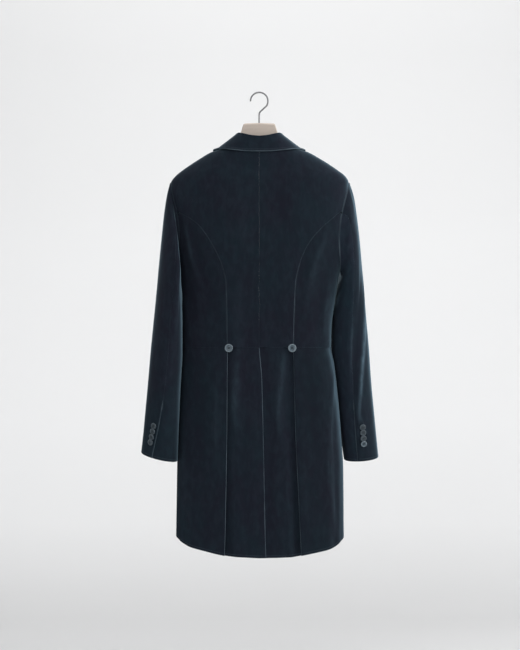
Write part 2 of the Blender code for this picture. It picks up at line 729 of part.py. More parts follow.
def sleeve_rings(side):
    """Rings of a whole sleeve: two that come out of the armhole, then the table's."""
    loop = armhole_loop(side)
    rings = [
        [p + into * SEAM_GAP - normal * BODY_CLOTH / 2 for p, normal, into in loop],
        [p + into * SEAM_GAP * 1.5 + normal * SLEEVE_HEAD_RISE for p, normal, into in loop],
    ]
    table = SLEEVE_LEFT if side < 0 else SLEEVE_RIGHT
    for ring in table:
        slant = CUFF_SLANT if ring is table[-1] else 0.0
        outer = Vector((ring.outer * MM, 0, ring.outer_z * MM))
        inner = Vector((ring.inner * MM, 0, ring.inner_z * MM))
        middle, reach = (outer + inner) / 2, (outer - inner) / 2
        line = []
        for j in range(len(loop)):
            psi = 2 * pi * j / len(loop) + radians(ring.twist)
            p = reach * sin(psi)
            y = -ring.half * MM * cos(psi)
            yaw = radians(ring.yaw)
            x = p.x * cos(yaw) + y * sin(yaw) - ring.tuck * MM * max(0, cos(psi)) ** 2
            y = y * cos(yaw) - p.x * sin(yaw)
            z = middle.z + p.z - slant * cos(psi)
            line.append(Vector((side * (middle.x + x), ring.y * MM + y, z)))
        rings.append(line)
    return rings


def tube_normals(rings, side):
    """Outward normals all round a tube of rings."""
    count = len(rings[0])
    normals = []
    for i in range(len(rings)):
        above, below = rings[max(i - 1, 0)], rings[min(i + 1, len(rings) - 1)]
        line = []
        for j in range(count):
            across = rings[i][(j + 1) % count] - rings[i][j - 1]
            line.append((below[j] - above[j]).cross(across).normalized() * side)
        normals.append(line)
    return normals


def sleeve(side, label):
    """Top sleeve and under sleeve, parted along the hind seam and the fore seam."""
    rings = sleeve_rings(side)
    tube = tube_normals(rings, side)
    count = len(rings[0])
    pieces = {
        f"sleeve_upper_{label}": list(range(HIND_SEAM_COLUMN, FORE_SEAM_COLUMN + 1)),
        f"sleeve_under_{label}": [j % count for j in range(FORE_SEAM_COLUMN, HIND_SEAM_COLUMN + count + 1)],
    }
    for name, columns in pieces.items():
        grid, normals = [], []
        for line, directions in zip(rings, tube):
            row = [line[j].copy() for j in columns]
            row[0] += (line[(columns[0] + 1) % count] - line[columns[0] - 1]).normalized() * SEAM_GAP / 2
            row[-1] -= (line[(columns[-1] + 1) % count] - line[columns[-1] - 1]).normalized() * SEAM_GAP / 2
            facing = [directions[j] for j in columns]
            grid.append(row if side > 0 else row[::-1])
            normals.append(facing if side > 0 else facing[::-1])
        wall(name, grid, SLEEVE_CLOTH, VELVET, normals)


def turned_button(name, size, place, facing, up):
    """Button turned from its profile: a flat back, a round rim and a dished face."""
    r, t, dish = size.radius, size.thick, size.dish
    profile = [(r * 0.93, 0), (r, t * 0.4), (r * 0.95, t * 0.85), (r * 0.8, t), (r * 0.62, t - dish)]
    facing = facing.normalized()
    side_way = up.cross(facing).normalized()
    true_up = facing.cross(side_way)
    mesh = bmesh.new()
    rings = []
    for radius, height in profile:
        ring = []
        for k in range(size.sides):
            a = 2 * pi * k / size.sides
            spot = place + facing * height + (side_way * cos(a) + true_up * sin(a)) * radius
            ring.append(mesh.verts.new(spot))
        rings.append(ring)
    for low, high in zip(rings, rings[1:]):
        for k in range(size.sides):
            after = (k + 1) % size.sides
            mesh.faces.new((low[k], low[after], high[after], high[k]))
    mesh.faces.new(rings[0][::-1])
    mesh.faces.new(rings[-1])
    return add_object(name, mesh, HORN)


def waist_buttons():
    """Buttons at the waist seam, over the tops of the pleats."""
    for label, side in SIDES.items():
        angle = angle_at(side * WAIST_BUTTON_OUT[label], WAIST_BUTTON_Z)
        normal = form_normal(angle, WAIST_BUTTON_Z)
        place = form_point(angle, WAIST_BUTTON_Z) + normal * WAIST_BUTTON_SEAT
        turned_button(f"waist_button_{label}", LARGE_BUTTON, place, normal, Vector((0, 0, 1)))


def front_button():
    angle = angle_at(0.0, FRONT_BUTTON_Z, front=True)
    normal = form_normal(angle, FRONT_BUTTON_Z)
    place = form_point(angle, FRONT_BUTTON_Z) + normal * BUTTON_SEAT
    turned_button("front_button", LARGE_BUTTON, place, normal, Vector((0, 0, 1)))


def cuff_buttons():
    """Four buttons on each cuff, in a row beside the hind seam, each resting on the next like a shingle."""
    for label, side in SIDES.items():
        rings = sleeve_rings(side)
        tube = tube_normals(rings, side)
        above, below = rings[-2], rings[-1]
        pitch_across = (below[HIND_SEAM_COLUMN + 1] - below[HIND_SEAM_COLUMN]).length
        columns_in = CUFF_BUTTON_IN[label] / pitch_across
        column = HIND_SEAM_COLUMN + int(columns_in)
        share = columns_in % 1
        foot = below[column].lerp(below[column + 1], share)
        top = above[column].lerp(above[column + 1], share)
        normal = tube[-1][column].lerp(tube[-1][column + 1], share).normalized()
        up = (top - foot).normalized()
        normal = (normal - up * normal.dot(up)).normalized()
        facing = normal * cos(CUFF_BUTTON_TILT) - up * sin(CUFF_BUTTON_TILT)
        raised = CUFF_BUTTON_SEAT + SMALL_BUTTON.radius * sin(CUFF_BUTTON_TILT)
        for k in range(CUFF_BUTTONS):
            along = CUFF_BUTTON_UP[label] + CUFF_BUTTON_PITCH * (CUFF_BUTTONS - 1 - k)
            place = foot + up * along + normal * raised
            turned_button(f"cuff_button_{label}_{k + 1}", SMALL_BUTTON, place, facing, up)


def hanger_body():
    """Wooden hanger: one length of sections, thicker towards the shoulders, bored for the hook's stem."""
    halves = [row._replace(x=-row.x) for row in reversed(HANGER[1:])] + HANGER
    mesh = bmesh.new()
    rings = []
    for row in halves:
        top, bottom, half = row.top * MM, row.bottom * MM, row.half * MM
        cut = min(HANGER_ROUNDING, (top - bottom) / 4)
        outline = [
            (-half, bottom + cut), (-half + cut, bottom), (half - cut, bottom), (half, bottom + cut),
            (half, top - cut), (half - cut, top), (-half + cut, top), (-half, top - cut),
        ]
        rings.append([mesh.verts.new((row.x * MM, y, z)) for y, z in outline])
    for low, high in zip(rings, rings[1:]):
        for k in range(len(low)):
            after = (k + 1) % len(low)
            mesh.faces.new((low[k], high[k], high[after], low[after]))
    mesh.faces.new(rings[0])
    mesh.faces.new(rings[-1][::-1])
    body = add_object("hanger_body", mesh, WOOD, 40)
    bore = bmesh.new()
    bmesh.ops.create_cone(
        bore,
        cap_ends=True,
        segments=BORE_SIDES,
        radius1=STEM_BORE_RADIUS,
        radius2=STEM_BORE_RADIUS,
        depth=2 * STEM_DEPTH,
    )
    cutter = add_object("stem_bore", bore, WOOD)
    cutter.location = (0, 0, HANGER[0].top * MM)
    cutter.hide_render = True
    cutter.display_type = "WIRE"
    cut = body.modifiers.new("Stem bore", "BOOLEAN")
    cut.object = cutter
    cut.operation = "DIFFERENCE"
    return body


def hanger_hook():
    """Steel hook: an open ring over the rail, a straight run back to the middle and a stem into the wood."""
    centre = Vector((0, 0, WIRE_RADIUS - HOOK_RADIUS))
    elbow = Vector((0, 0, ELBOW_Z))
    route = []
    for k in range(HOOK_POINTS):
        a = HOOK_TIP - HOOK_STEP * k
        route.append(centre + Vector((cos(a), 0, sin(a))) * HOOK_RADIUS)
    ring_end = route[-1]
    route += [ring_end.lerp(elbow, share) for share in ELBOW_RUN]
    route += [Vector((x, 0, z)) for x, z in ELBOW_BEND]
    wood_top = HANGER[0].top * MM
    route += [Vector((0, 0, wood_top)), Vector((0, 0, wood_top - STEM_DEPTH + STEM_CLEAR))]
    curve = bpy.data.curves.new("hanger_hook", "CURVE")
    curve.dimensions = "3D"
    curve.bevel_depth = WIRE_RADIUS
    curve.bevel_resolution = (HOOK_SIDES - 4) // 2
    curve.use_fill_caps = True
    spline = curve.splines.new("POLY")
    spline.points.add(len(route) - 1)
    for spot, place in zip(spline.points, route):
        spot.co = (*place, 1)
    return place_object("hanger_hook", curve, STEEL)


def main():
    for old in list(bpy.data.objects):
        bpy.data.objects.remove(old, do_unlink=True)
    for label, side in SIDES.items():
        back_panel(f"back_{label}", side)
        side_body_panel(f"side_body_{label}", side)
        front_panel(f"front_{label}", side)
        lapel(f"lapel_{label}", side)
        side_skirt(f"side_skirt_{label}", side)
        back_skirt(f"back_skirt_{label}", side)
        sleeve(side, label)
    collar()
    waist_buttons()
    front_button()
    cuff_buttons()
    hanger_body()
    hanger_hook()


main()
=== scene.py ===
# %% [markdown]
# # A velvet morning coat on its hanger
#
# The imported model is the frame: plain cloth walls at their real size. This notebook dresses it. Each panel
# of cloth is drawn again as a fine thin shell on the same form, with rolled seams and soft creases, and then
# gets a velvet pile, stitches, horn buttons, a wooden hanger and a steel hook.
#
# The coat hangs with its back to the camera. -Y is the coat's back, +X its right side, and the origin is
# where a rail touches the inside of the hook.

from collections import namedtuple
from math import cos, pi, radians, sin

import bmesh
import bpy
import numpy as np
from mathutils import Matrix, Vector


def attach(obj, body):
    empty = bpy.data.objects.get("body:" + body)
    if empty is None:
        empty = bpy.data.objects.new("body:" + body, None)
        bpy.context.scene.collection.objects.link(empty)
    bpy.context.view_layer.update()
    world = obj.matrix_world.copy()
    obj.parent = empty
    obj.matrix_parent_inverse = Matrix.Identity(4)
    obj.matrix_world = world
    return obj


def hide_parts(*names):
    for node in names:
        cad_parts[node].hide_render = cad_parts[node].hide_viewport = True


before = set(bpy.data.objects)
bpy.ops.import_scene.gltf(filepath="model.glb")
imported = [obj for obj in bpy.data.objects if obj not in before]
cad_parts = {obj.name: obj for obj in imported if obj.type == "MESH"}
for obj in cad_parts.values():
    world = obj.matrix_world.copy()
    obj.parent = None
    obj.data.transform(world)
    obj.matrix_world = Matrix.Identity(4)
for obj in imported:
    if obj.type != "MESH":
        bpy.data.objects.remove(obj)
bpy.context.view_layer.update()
MM = 0.001
SIDES = {"left": -1, "right": 1}

# %% [markdown]
# ## Camera
#
# The picture was taken square to the back from some metres away, so there is next to no perspective. The
# distance and the lens are chosen so that one pixel covers 2.4 mm of the coat's back.

# %% Camera
CAMERA_DISTANCE = 9.0
AIM = Vector((0.0019, 0.0, -0.5575))
BACK_PLANE = 0.04
PICTURE_HEIGHT = 650
SIZE_OF_A_PIXEL = 2.394 * MM
SENSOR = 24.0


def in_scene(name, data):
    """New object that shows this camera, light, mesh or curve in the scene."""
    made = bpy.data.objects.new(name, data)
    bpy.context.collection.objects.link(made)
    return made


camera_data = bpy.data.cameras.new("camera")
camera_data.sensor_fit = "VERTICAL"
camera_data.sensor_height = SENSOR
camera_data.lens = SENSOR * (CAMERA_DISTANCE - BACK_PLANE) / (SIZE_OF_A_PIXEL * PICTURE_HEIGHT)
camera = in_scene("camera", camera_data)
camera.location = AIM - Vector((0, CAMERA_DISTANCE, 0))
camera.rotation_euler = (pi / 2, 0, 0)
bpy.context.scene.camera = camera
print("lens", round(camera_data.lens, 1), "mm")

# %% [markdown]
# ## Tables and smooth curves
#
# A pattern cutter gives a few measures and joins them with a smooth line. Short tables hold the measures
# here, in millimetres and degrees, and this curve runs through them without swinging past any of them, which
# a plain spline would do where the measures change fast.


# %% A smooth curve through a table
def smooth_curve(xs, ys):
    """Function through the points that never overshoots them. The values may be numbers or whole arrays."""
    order = np.argsort(xs)
    xs = np.asarray(xs, float)[order]
    ys = np.asarray(ys, float)[order]
    spans = np.diff(xs).reshape(-1, *[1] * (ys.ndim - 1))
    steep = np.diff(ys, axis=0) / spans
    before, after = steep[:-1], steep[1:]
    same_way = before * after > 0
    slope = np.concatenate((steep[:1], np.zeros_like(before), steep[-1:]))
    slope[1:-1][same_way] = (2 * before * after)[same_way] / (before + after)[same_way]

    def value(at):
        at = np.clip(np.asarray(at, float), xs[0], xs[-1])
        k = np.clip(np.searchsorted(xs, at, side="right") - 1, 0, len(xs) - 2)
        span = xs[k + 1] - xs[k]
        u = (at - xs[k]) / span
        if ys.ndim > 1:
            u = u.reshape(*at.shape, *[1] * (ys.ndim - 1))
            span = span.reshape(u.shape)
        rise = ys[k] * (1 + 2 * u) * (1 - u) ** 2 + ys[k + 1] * u * u * (3 - 2 * u)
        return rise + span * slope[k] * u * (1 - u) ** 2 - span * slope[k + 1] * u * u * (1 - u)

    return value


def curves(rows, key):
    """One smooth curve for each other column of a table, by its key column, in the table's own units."""
    keys = [getattr(row, key) for row in rows]
    fields = [name for name in rows[0]._fields if name != key]
    return {name: smooth_curve(keys, [getattr(row, name) for row in rows]) for name in fields}


def smooth_step(u):
    """Soft rise from 0 to 1 while u goes from 0 to 1."""
    u = np.clip(u, 0.0, 1.0)
    return u * u * (3 - 2 * u)


def at_side(by_side, side, at):
    """Value in metres for one side from a pair of curves named left and right, at a place in metres."""
    return by_side["left" if side < 0 else "right"](np.asarray(at) / MM) * MM


print("half-way from 1 to 4 the curve gives", float(smooth_curve([0, 1, 2], [0, 1, 4])(1.5)))

# %% [markdown]
# ## The form under the cloth
#
# A tailored coat keeps the shape of a body because it is cut and pressed to one. That shape is a ring at
# each height: a squared oval with its own half-width to the left and right and its own depth to the back
# and the front. The angle is 0 at the centre back, 90 degrees at the right side and 180 at the front.

# %% Form
SQUARENESS = 2.6
Level = namedtuple("Level", "z left right back front")
FORM = [
    Level(-122, 62, 62, 52, 46),
    Level(-130, 80, 81, 57, 50),
    Level(-137.5, 101, 103, 60.5, 53.5),
    Level(-142, 115, 117, 63, 57),
    Level(-157, 141, 144.5, 67, 61),
    Level(-171, 163, 167.5, 70, 65),
    Level(-185.5, 184, 188.5, 73, 69),
    Level(-200, 201.5, 207, 76, 72),
    Level(-215, 212, 215, 78, 75),
    Level(-250, 214, 215.5, 81, 79),
    Level(-300, 212, 213, 83, 82),
    Level(-350, 208, 208, 83, 83),
    Level(-400, 201, 200.5, 81, 83),
    Level(-432, 195, 193.5, 79, 82),
    Level(-500, 190, 182.5, 73, 78),
    Level(-560, 188, 174.5, 68, 74),
    Level(-611, 187, 173, 66, 72),
    Level(-650, 188, 180, 67, 72),
    Level(-700, 190, 186, 69, 73),
    Level(-770, 193, 193, 71, 74),
    Level(-833, 195.5, 197.5, 73, 75),
    Level(-900, 196.5, 201.5, 75, 76),
    Level(-1000, 197.5, 201.8, 76, 77),
    Level(-1125, 198.5, 201.5, 77, 78),
]
form = curves(FORM, "z")
print(len(FORM), "levels from", FORM[0].z, "down to", FORM[-1].z, "mm")


# %% Points on the form
def half_width(z, side):
    """Half-width at a height, to the left for a negative side and to the right for a positive one."""
    return np.where(np.asarray(side) < 0, form["left"](z / MM), form["right"](z / MM)) * MM


def form_point(angle, z):
    """Point of the form at an angle and a height."""
    angle, z = np.broadcast_arrays(np.asarray(angle, float), np.asarray(z, float))
    c, s = np.cos(angle), np.sin(angle)
    reach = (abs(c) ** SQUARENESS + abs(s) ** SQUARENESS) ** (-1 / SQUARENESS)
    depth = np.where(c > 0, form["back"](z / MM), form["front"](z / MM)) * MM
    return np.stack((half_width(z, s) * s * reach, -depth * c * reach, z), axis=-1)


def unit(vectors):
    """The vectors at length 1."""
    return vectors / np.maximum(np.linalg.norm(vectors, axis=-1, keepdims=True), 1e-12)


def form_normal(angle, z):
    """Way out of the form, from a small step round it and a small step down it."""
    step, rise = 0.002, 0.2 * MM
    across = form_point(angle + step, z) - form_point(angle - step, z)
    down = form_point(angle, z - rise) - form_point(angle, z + rise)
    return unit(np.cross(down, across))


def angle_at(x, z, front=False):
    """Angle at which the form is at this x, on its back or its front."""
    x, z = np.broadcast_arrays(np.asarray(x, float), np.asarray(z, float))
    ratio = np.minimum(abs(x) / half_width(z, x), 1.0)
    turn = np.arctan2(ratio, (1 - ratio ** SQUARENESS) ** (1 / SQUARENESS))
    turn = pi - turn if front else turn
    return np.where(x >= 0, turn, -turn)


chest = float(half_width(-0.432, -1) + half_width(-0.432, 1))
print("the form is", round(chest / MM), "mm wide at the underarm")

# %% [markdown]
# ## Creases
#
# Cloth that hangs from a hanger is never quite smooth: soft drag lines run from the shoulder blades to the
# waist, and the skirts fall in slow waves. Each is one row of a table: where it starts and ends as seen from
# the back or the front, how wide it is and how far it stands out, or sinks in where the sign is minus. They
# are uneven on purpose.

# %% Creases of the body and the skirts
CREASE_STRENGTH = 1.5
CREASE_BOW = 0.04
CREASE_TAPER = 0.8
CREASE_FREE_OF_SIDES = 25 * MM
Crease = namedtuple("Crease", "x0 z0 x1 z1 width height")
BACK_CREASES = [
    Crease(-182, -280, -124, -500, 9, 1.9),
    Crease(-160, -300, -96, -560, 11, -1.5),
    Crease(-178, -400, -140, -590, 13, -1.2),
    Crease(-150, -500, -160, -640, 14, 0.9),
    Crease(172, -310, 108, -540, 9, 1.8),
    Crease(176, -380, 134, -590, 12, -1.5),
    Crease(170, -430, 168, -660, 9, 1.9),
    Crease(120, -330, 102, -470, 8, -0.9),
    Crease(-44, -180, -22, -420, 20, 1.0),
    Crease(48, -190, 66, -380, 24, -1.2),
    Crease(-42, -420, -44, -640, 17, 1.2),
    Crease(34, -440, 52, -600, 13, -0.8),
    Crease(88, -190, 70, -300, 18, 0.7),
    Crease(-90, -166, 84, -172, 10, -0.8),
    Crease(-60, -186, 66, -190, 12, 0.7),
    Crease(-92, -620, -92, -960, 9, 1.3),
    Crease(-126, -600, -142, -930, 18, -1.6),
    Crease(-166, -700, -168, -1060, 12, 1.2),
    Crease(126, -600, 146, -900, 17, -1.6),
    Crease(184, -640, 186, -1080, 5, 1.9),
    Crease(116, -760, 124, -1100, 12, 1.2),
    Crease(-45, -580, -51, -830, 13, 2.4),
    Crease(-52, -780, -56, -1090, 10, 1.1),
    Crease(-24, -700, -18, -1110, 12, -1.2),
    Crease(68, -590, 50, -860, 9, 2.4),
    Crease(50, -830, 40, -1080, 10, 0.9),
    Crease(40, -800, 42, -1110, 12, -1.0),
]
FRONT_CREASES = [
    Crease(-120, -260, -60, -560, 18, 1.6),
    Crease(-96, -420, -40, -586, 12, -1.3),
    Crease(124, -250, 66, -540, 17, 1.5),
    Crease(104, -430, 44, -588, 12, -1.4),
    Crease(-165, -470, -120, -600, 14, 1.2),
    Crease(160, -460, 122, -600, 13, 1.3),
    Crease(-120, -640, -140, -900, 18, 1.8),
    Crease(-84, -640, -90, -820, 13, -1.3),
    Crease(118, -640, 142, -920, 17, -1.6),
    Crease(92, -650, 100, -800, 12, 1.3),
]
print(len(BACK_CREASES), "creases on the back,", len(FRONT_CREASES), "on the front")


# %% How far a crease lifts the cloth
def crease_lift(points):
    """How far the creases lift each point, from its place seen from the back or from the front."""
    lift = np.zeros(points.shape[:-1])
    x, z = points[..., 0] / MM, points[..., 2] / MM
    for rows, here in ((BACK_CREASES, points[..., 1] < 0), (FRONT_CREASES, points[..., 1] >= 0)):
        for row in rows:
            run_x, run_z = row.x1 - row.x0, row.z1 - row.z0
            length = run_x ** 2 + run_z ** 2
            along = np.clip(((x - row.x0) * run_x + (z - row.z0) * run_z) / length, 0, 1)
            bow = CREASE_BOW * np.sqrt(length) * np.sin(pi * along)
            aside = ((x - row.x0) * run_z - (z - row.z0) * run_x) / np.sqrt(length) - bow
            swell = np.exp(-(aside / row.width) ** 2) * np.sin(pi * along) ** CREASE_TAPER
            lift += np.where(here, CREASE_STRENGTH * row.height * swell, 0.0)
    off_sides = smooth_step(abs(points[..., 1]) / CREASE_FREE_OF_SIDES)
    return lift * off_sides * MM


across, down = np.meshgrid(np.arange(-200, 201, 5), np.arange(-1100, -199, 5))
back_lift = crease_lift(np.stack((across, np.full_like(across, -60), down), axis=-1) * MM) / MM
print("creases move the back by", round(back_lift.min(), 1), "to", round(back_lift.max(), 1), "mm")

# %% [markdown]
# ## A wall of cloth
#
# Each panel is a grid of points, rows running down and columns running round the body. A wall gives it the
# thickness of lined velvet. A seam turns both edges of the cloth inwards, so every edge rolls over in a
# small quarter round. Four numbers are kept on the points for the material: how near a seam is, how bright a
# highlight is painted along it, whether it has a row of stitches beside it, and how high a crease lifts the
# cloth, which sets a painted highlight on a raised crest and painted shade in a sunk one.

# %% Cloth and its edges
BODY_CLOTH = 2.5 * MM
SKIRT_CLOTH = 2.2 * MM
COLLAR_CLOTH = 2.2 * MM
SLEEVE_CLOTH = 2.2 * MM
SEAM_GAP = 0.02 * MM
LAYER_GAP = 0.8 * MM
EDGE_ROLL = 1.3 * MM
SEAM_ROLL = 0.5 * MM
SEAM_REACH = 26 * MM
FAINT_GLEAM = 0.1
GLEAM_TO_FULL_ROLL = 0.3
EDGE_STEPS = np.array([0, 0.25, 0.6, 1.1, 1.8, 3.0]) * MM


def lengths(points, axis):
    """Running length along a grid's rows or columns, from its start."""
    steps = np.linalg.norm(np.diff(points, axis=axis), axis=-1)
    pad = [(0, 0), (0, 0)]
    pad[axis] = (1, 0)
    return np.pad(np.cumsum(steps, axis=axis), pad)


def edge_distances(points):
    """Distance of each point of a grid from the start and the end of its column, and of its row."""
    down, across = lengths(points, 0), lengths(points, 1)
    return {
        "top": down,
        "bottom": down[-1:] - down,
        "first": across,
        "last": across[:, -1:] - across,
    }


def rolled(points, normals, edges, distances):
    """The grid with its sewn or turned edges rolled inwards, wider where a brighter highlight is painted
    along the edge.
    """
    sink = np.zeros(points.shape[:-1])
    for edge, gleam in edges.items():
        open_wide = smooth_step((np.asarray(gleam) - FAINT_GLEAM) / GLEAM_TO_FULL_ROLL)
        roll = SEAM_ROLL + (EDGE_ROLL - SEAM_ROLL) * open_wide
        near = np.clip(1 - distances[edge] / roll, 0, 1)
        sink = np.maximum(sink, roll * (1 - np.sqrt(1 - near ** 2)))
    return points - normals * sink[..., None]


print("cloth walls", BODY_CLOTH / MM, "and", SKIRT_CLOTH / MM, "mm")

# %% A wall of cloth from a grid
SHARPEST_CLOTH = radians(60)
cloth_pieces = {}
grids = {}


def wall_mesh(name, outer, inner):
    """Closed mesh between an outer and an inner grid, with its numbers for the material."""
    rows, columns = outer.shape[:2]
    count = rows * columns
    index = np.arange(count).reshape(rows, columns)
    a, b, c, d = index[:-1, :-1], index[1:, :-1], index[1:, 1:], index[:-1, 1:]
    outside = np.stack((a, b, c, d), -1).reshape(-1, 4)
    inside = np.stack((a, d, c, b), -1).reshape(-1, 4) + count
    rims = [
        np.stack((index[:-1, 0], index[:-1, 0] + count, index[1:, 0] + count, index[1:, 0]), -1),
        np.stack((index[:-1, -1], index[1:, -1], index[1:, -1] + count, index[:-1, -1] + count), -1),
        np.stack((index[0, :-1], index[0, 1:], index[0, 1:] + count, index[0, :-1] + count), -1),
        np.stack((index[-1, :-1], index[-1, :-1] + count, index[-1, 1:] + count, index[-1, 1:]), -1),
    ]
    faces = np.concatenate((outside, inside, *rims))
    mesh = bpy.data.meshes.new(name)
    mesh.from_pydata(np.concatenate((outer, inner)).reshape(-1, 3), [], faces.tolist())
    return mesh


def cloth(name, points, normals, thickness, edges, folds=(), stitched=(), crest=None):
    """Piece of cloth: a wall inside a grid, which is kept with its normals for the sewing.

    Edges and folds say how bright a highlight is painted along them. A fold is a line at one index from an
    edge.
    """
    distances = edge_distances(points)
    lines = [(distances[edge], gleam, edge in stitched) for edge, gleam in edges.items()]
    for start, index, gleam in folds:
        run = distances[start]
        here = run[index] if start == "top" else run[:, index:index + 1]
        lines.append((abs(run - here), gleam, False))
    nearest = np.full(points.shape[:-1], SEAM_REACH)
    gleams, stitching = np.zeros_like(nearest), np.zeros_like(nearest)
    for distance, gleam, sewn_flat in lines:
        closer = distance < nearest
        gleams = np.where(closer, gleam, gleams)
        stitching = np.where(closer, float(sewn_flat), stitching)
        nearest = np.where(closer, distance, nearest)
    outer = rolled(points, normals, edges, distances)
    mesh = wall_mesh(name, outer, points - normals * thickness)
    crest = crease_lift(points) / MM if crest is None else crest
    numbers = {"seam": 1 - nearest / SEAM_REACH, "gleam": gleams, "stitched": stitching, "crest": crest}
    for label, values in numbers.items():
        mesh.attributes.new(label, "FLOAT", "POINT").data.foreach_set("value", np.tile(values.ravel(), 2))
    mesh.shade_smooth()
    mesh.set_sharp_from_angle(angle=SHARPEST_CLOTH)
    mesh.validate()
    cloth_pieces[name] = in_scene(name, mesh)
    grids[name] = (outer, normals)


print("seams show up to", SEAM_REACH / MM, "mm away")

# %% Rows and columns of a grid
WIDEST_EDGE = 0.35
FEWEST_STEPS = 4


def grid_normals(points):
    """Outward normals of a grid: down crossed with across."""
    return unit(np.cross(np.gradient(points, axis=0), np.gradient(points, axis=1)))


def spread(width, step=6 * MM):
    """Shares across a strip of each width: close together by both edges, then about a step apart."""
    width = np.atleast_1d(width)
    middle = max(int(np.ceil(width.max() / step)), FEWEST_STEPS)
    edge = EDGE_STEPS[None, :] / np.maximum(width[:, None], 0.001 * MM)
    edge = edge * np.minimum(1, WIDEST_EDGE / edge[:, -1:])
    inner = edge[:, -1:] + (1 - 2 * edge[:, -1:]) * np.linspace(0, 1, middle + 1)[None, :]
    return np.concatenate((edge[:, :-1], inner, 1 - edge[:, -2::-1]), axis=1)


def heights_between(stops, step=5 * MM):
    """Heights down from the first stop to the last: close together by both ends, then a step apart."""
    top, bottom = stops[0], stops[-1]
    inner = [top - EDGE_STEPS[-1]]
    for stop in [*stops[1:-1], bottom + EDGE_STEPS[-1]]:
        count = max(int(np.ceil((inner[-1] - stop) / step)), 1)
        inner += list(np.linspace(inner[-1], stop, count + 1)[1:])
    return np.array([*(top - EDGE_STEPS[:-1]), *inner, *(bottom + EDGE_STEPS[-2::-1])])


print("a strip 60 mm wide gets", spread(60 * MM).shape[1], "columns")

# %% [markdown]
# ## Lines of the cut
#
# These are the lines that a cutter would chalk: the neck, the armhole, the long curved seam from the
# armhole to the waist button, and the front edge with its roll line. Every panel takes its edges from them,
# so neighbours meet along a seam with the same small gap.

# %% Neck, armhole and seams
NECK_SIDE_Z = -122 * MM
NECK_BLEND_Z = -142 * MM
NECK_BACK_DROP = 10 * MM
SHOULDER_Z = -215 * MM
UNDERARM_Z = -432 * MM
TIP_TURN = pi * 0.4
SIDE_BODY_TIP = 1.5 * MM
WAIST_Z = -611 * MM
ARMHOLE_BACK = radians(31)
ARMHOLE_FRONT = radians(33)
SeamPoint = namedtuple("SeamPoint", "z left right")
BACK_SEAM = [
    SeamPoint(-289.9, 190, 189),
    SeamPoint(-299, 171, 180),
    SeamPoint(-310, 155, 167),
    SeamPoint(-323.5, 140.5, 151.5),
    SeamPoint(-357.1, 117, 122),
    SeamPoint(-387.3, 100.5, 106),
    SeamPoint(-411.3, 90, 97),
    SeamPoint(-458, 79.5, 87.5),
    SeamPoint(-525, 78, 84.5),
    SeamPoint(-611, 77, 82),
]
back_seam = curves(BACK_SEAM, "z")


def neck_height(angle):
    """Height of the neck line, which dips at the back and at the front."""
    return NECK_SIDE_Z - NECK_BACK_DROP * np.cos(angle) ** 2


def below_neck(z):
    """0 up at the neck, and 1 from the height where the rows are level."""
    return np.clip((NECK_SIDE_Z - z) / (NECK_SIDE_Z - NECK_BLEND_Z), 0, 1)


def armhole_height(turn):
    """Height on the oval armhole, for a turn from 0 at the shoulder to half a circle under the arm."""
    return SHOULDER_Z - (SHOULDER_Z - UNDERARM_Z) * (1 - np.cos(turn)) / 2


def armhole_angle(z, opened):
    """How far the oval armhole lies from the shoulder line at a height."""
    lean = np.clip(1 - 2 * (SHOULDER_Z - z) / (SHOULDER_Z - UNDERARM_Z), -1, 1)
    return opened * np.sqrt(1 - lean ** 2)


def ridge_gap(z):
    """Angle of half a seam gap at the side of the form."""
    return SEAM_GAP / 2 / (form["back"](z / MM) * MM)


TIP_Z = float(armhole_height(TIP_TURN))


def seam_angle(z, side):
    """Angle of the curved back seam, as a positive number on both sides."""
    by_table = abs(angle_at(side * at_side(back_seam, side, z), z))
    by_armhole = pi / 2 - armhole_angle(z, ARMHOLE_BACK) - SIDE_BODY_TIP / half_width(z, side)
    return np.where(z >= TIP_Z, by_armhole, by_table)


print("tip of the side body at", round(TIP_Z / MM, 1), "mm")

# %% Panels of the body
STEEPEST_SEAM = 4
SMALL_TURN = 0.004
BODY_ARC = 0.75
ARMHOLE_ROWS = 45


def half_gap(angles, z):
    """Angle of half a seam gap along a seam, measured square to it."""
    line = form_point(angles, z)
    run = np.gradient(line, axis=0)
    slope = np.minimum(np.hypot(run[:, 0], run[:, 1]) / abs(run[:, 2]), STEEPEST_SEAM)
    stride = np.linalg.norm(form_point(angles + SMALL_TURN, z) - line, axis=-1) / SMALL_TURN
    return SEAM_GAP / 2 * np.sqrt(1 + slope ** 2) / stride


def body_grid(start, end, z, lift=None):
    """Grid between two edges given as angles at each height. Above the blend height rows follow the neck."""
    width = abs(end - start) * half_width(z, 1) * BODY_ARC
    angle = start[:, None] + (end - start)[:, None] * spread(width)
    blend = below_neck(z)[:, None]
    height = np.where(blend < 1, neck_height(angle) * (1 - blend) + NECK_BLEND_Z * blend, z[:, None])
    normals = form_normal(angle, height)
    points = form_point(angle, height)
    out = crease_lift(points)
    if lift:
        out = out + lift(points)
    return points + normals * out[..., None], normals


armhole_rows = armhole_height(np.linspace(0, pi, ARMHOLE_ROWS))
upper_rows = heights_between([NECK_SIDE_Z, NECK_BLEND_Z, SHOULDER_Z - EDGE_STEPS[-1]])[:-len(EDGE_STEPS)]
lower_rows = heights_between([UNDERARM_Z + EDGE_STEPS[-1], WAIST_Z + SEAM_GAP / 2])[len(EDGE_STEPS):]
body_rows = np.concatenate((upper_rows, armhole_rows, lower_rows))
body_rows = body_rows[np.concatenate(([True], np.diff(body_rows) < -0.01 * MM))]
seam_rows = np.concatenate(([TIP_Z], body_rows[body_rows < TIP_Z - 0.1 * MM]))
print(len(body_rows), "rows on the body,", len(seam_rows), "of them below the tip")
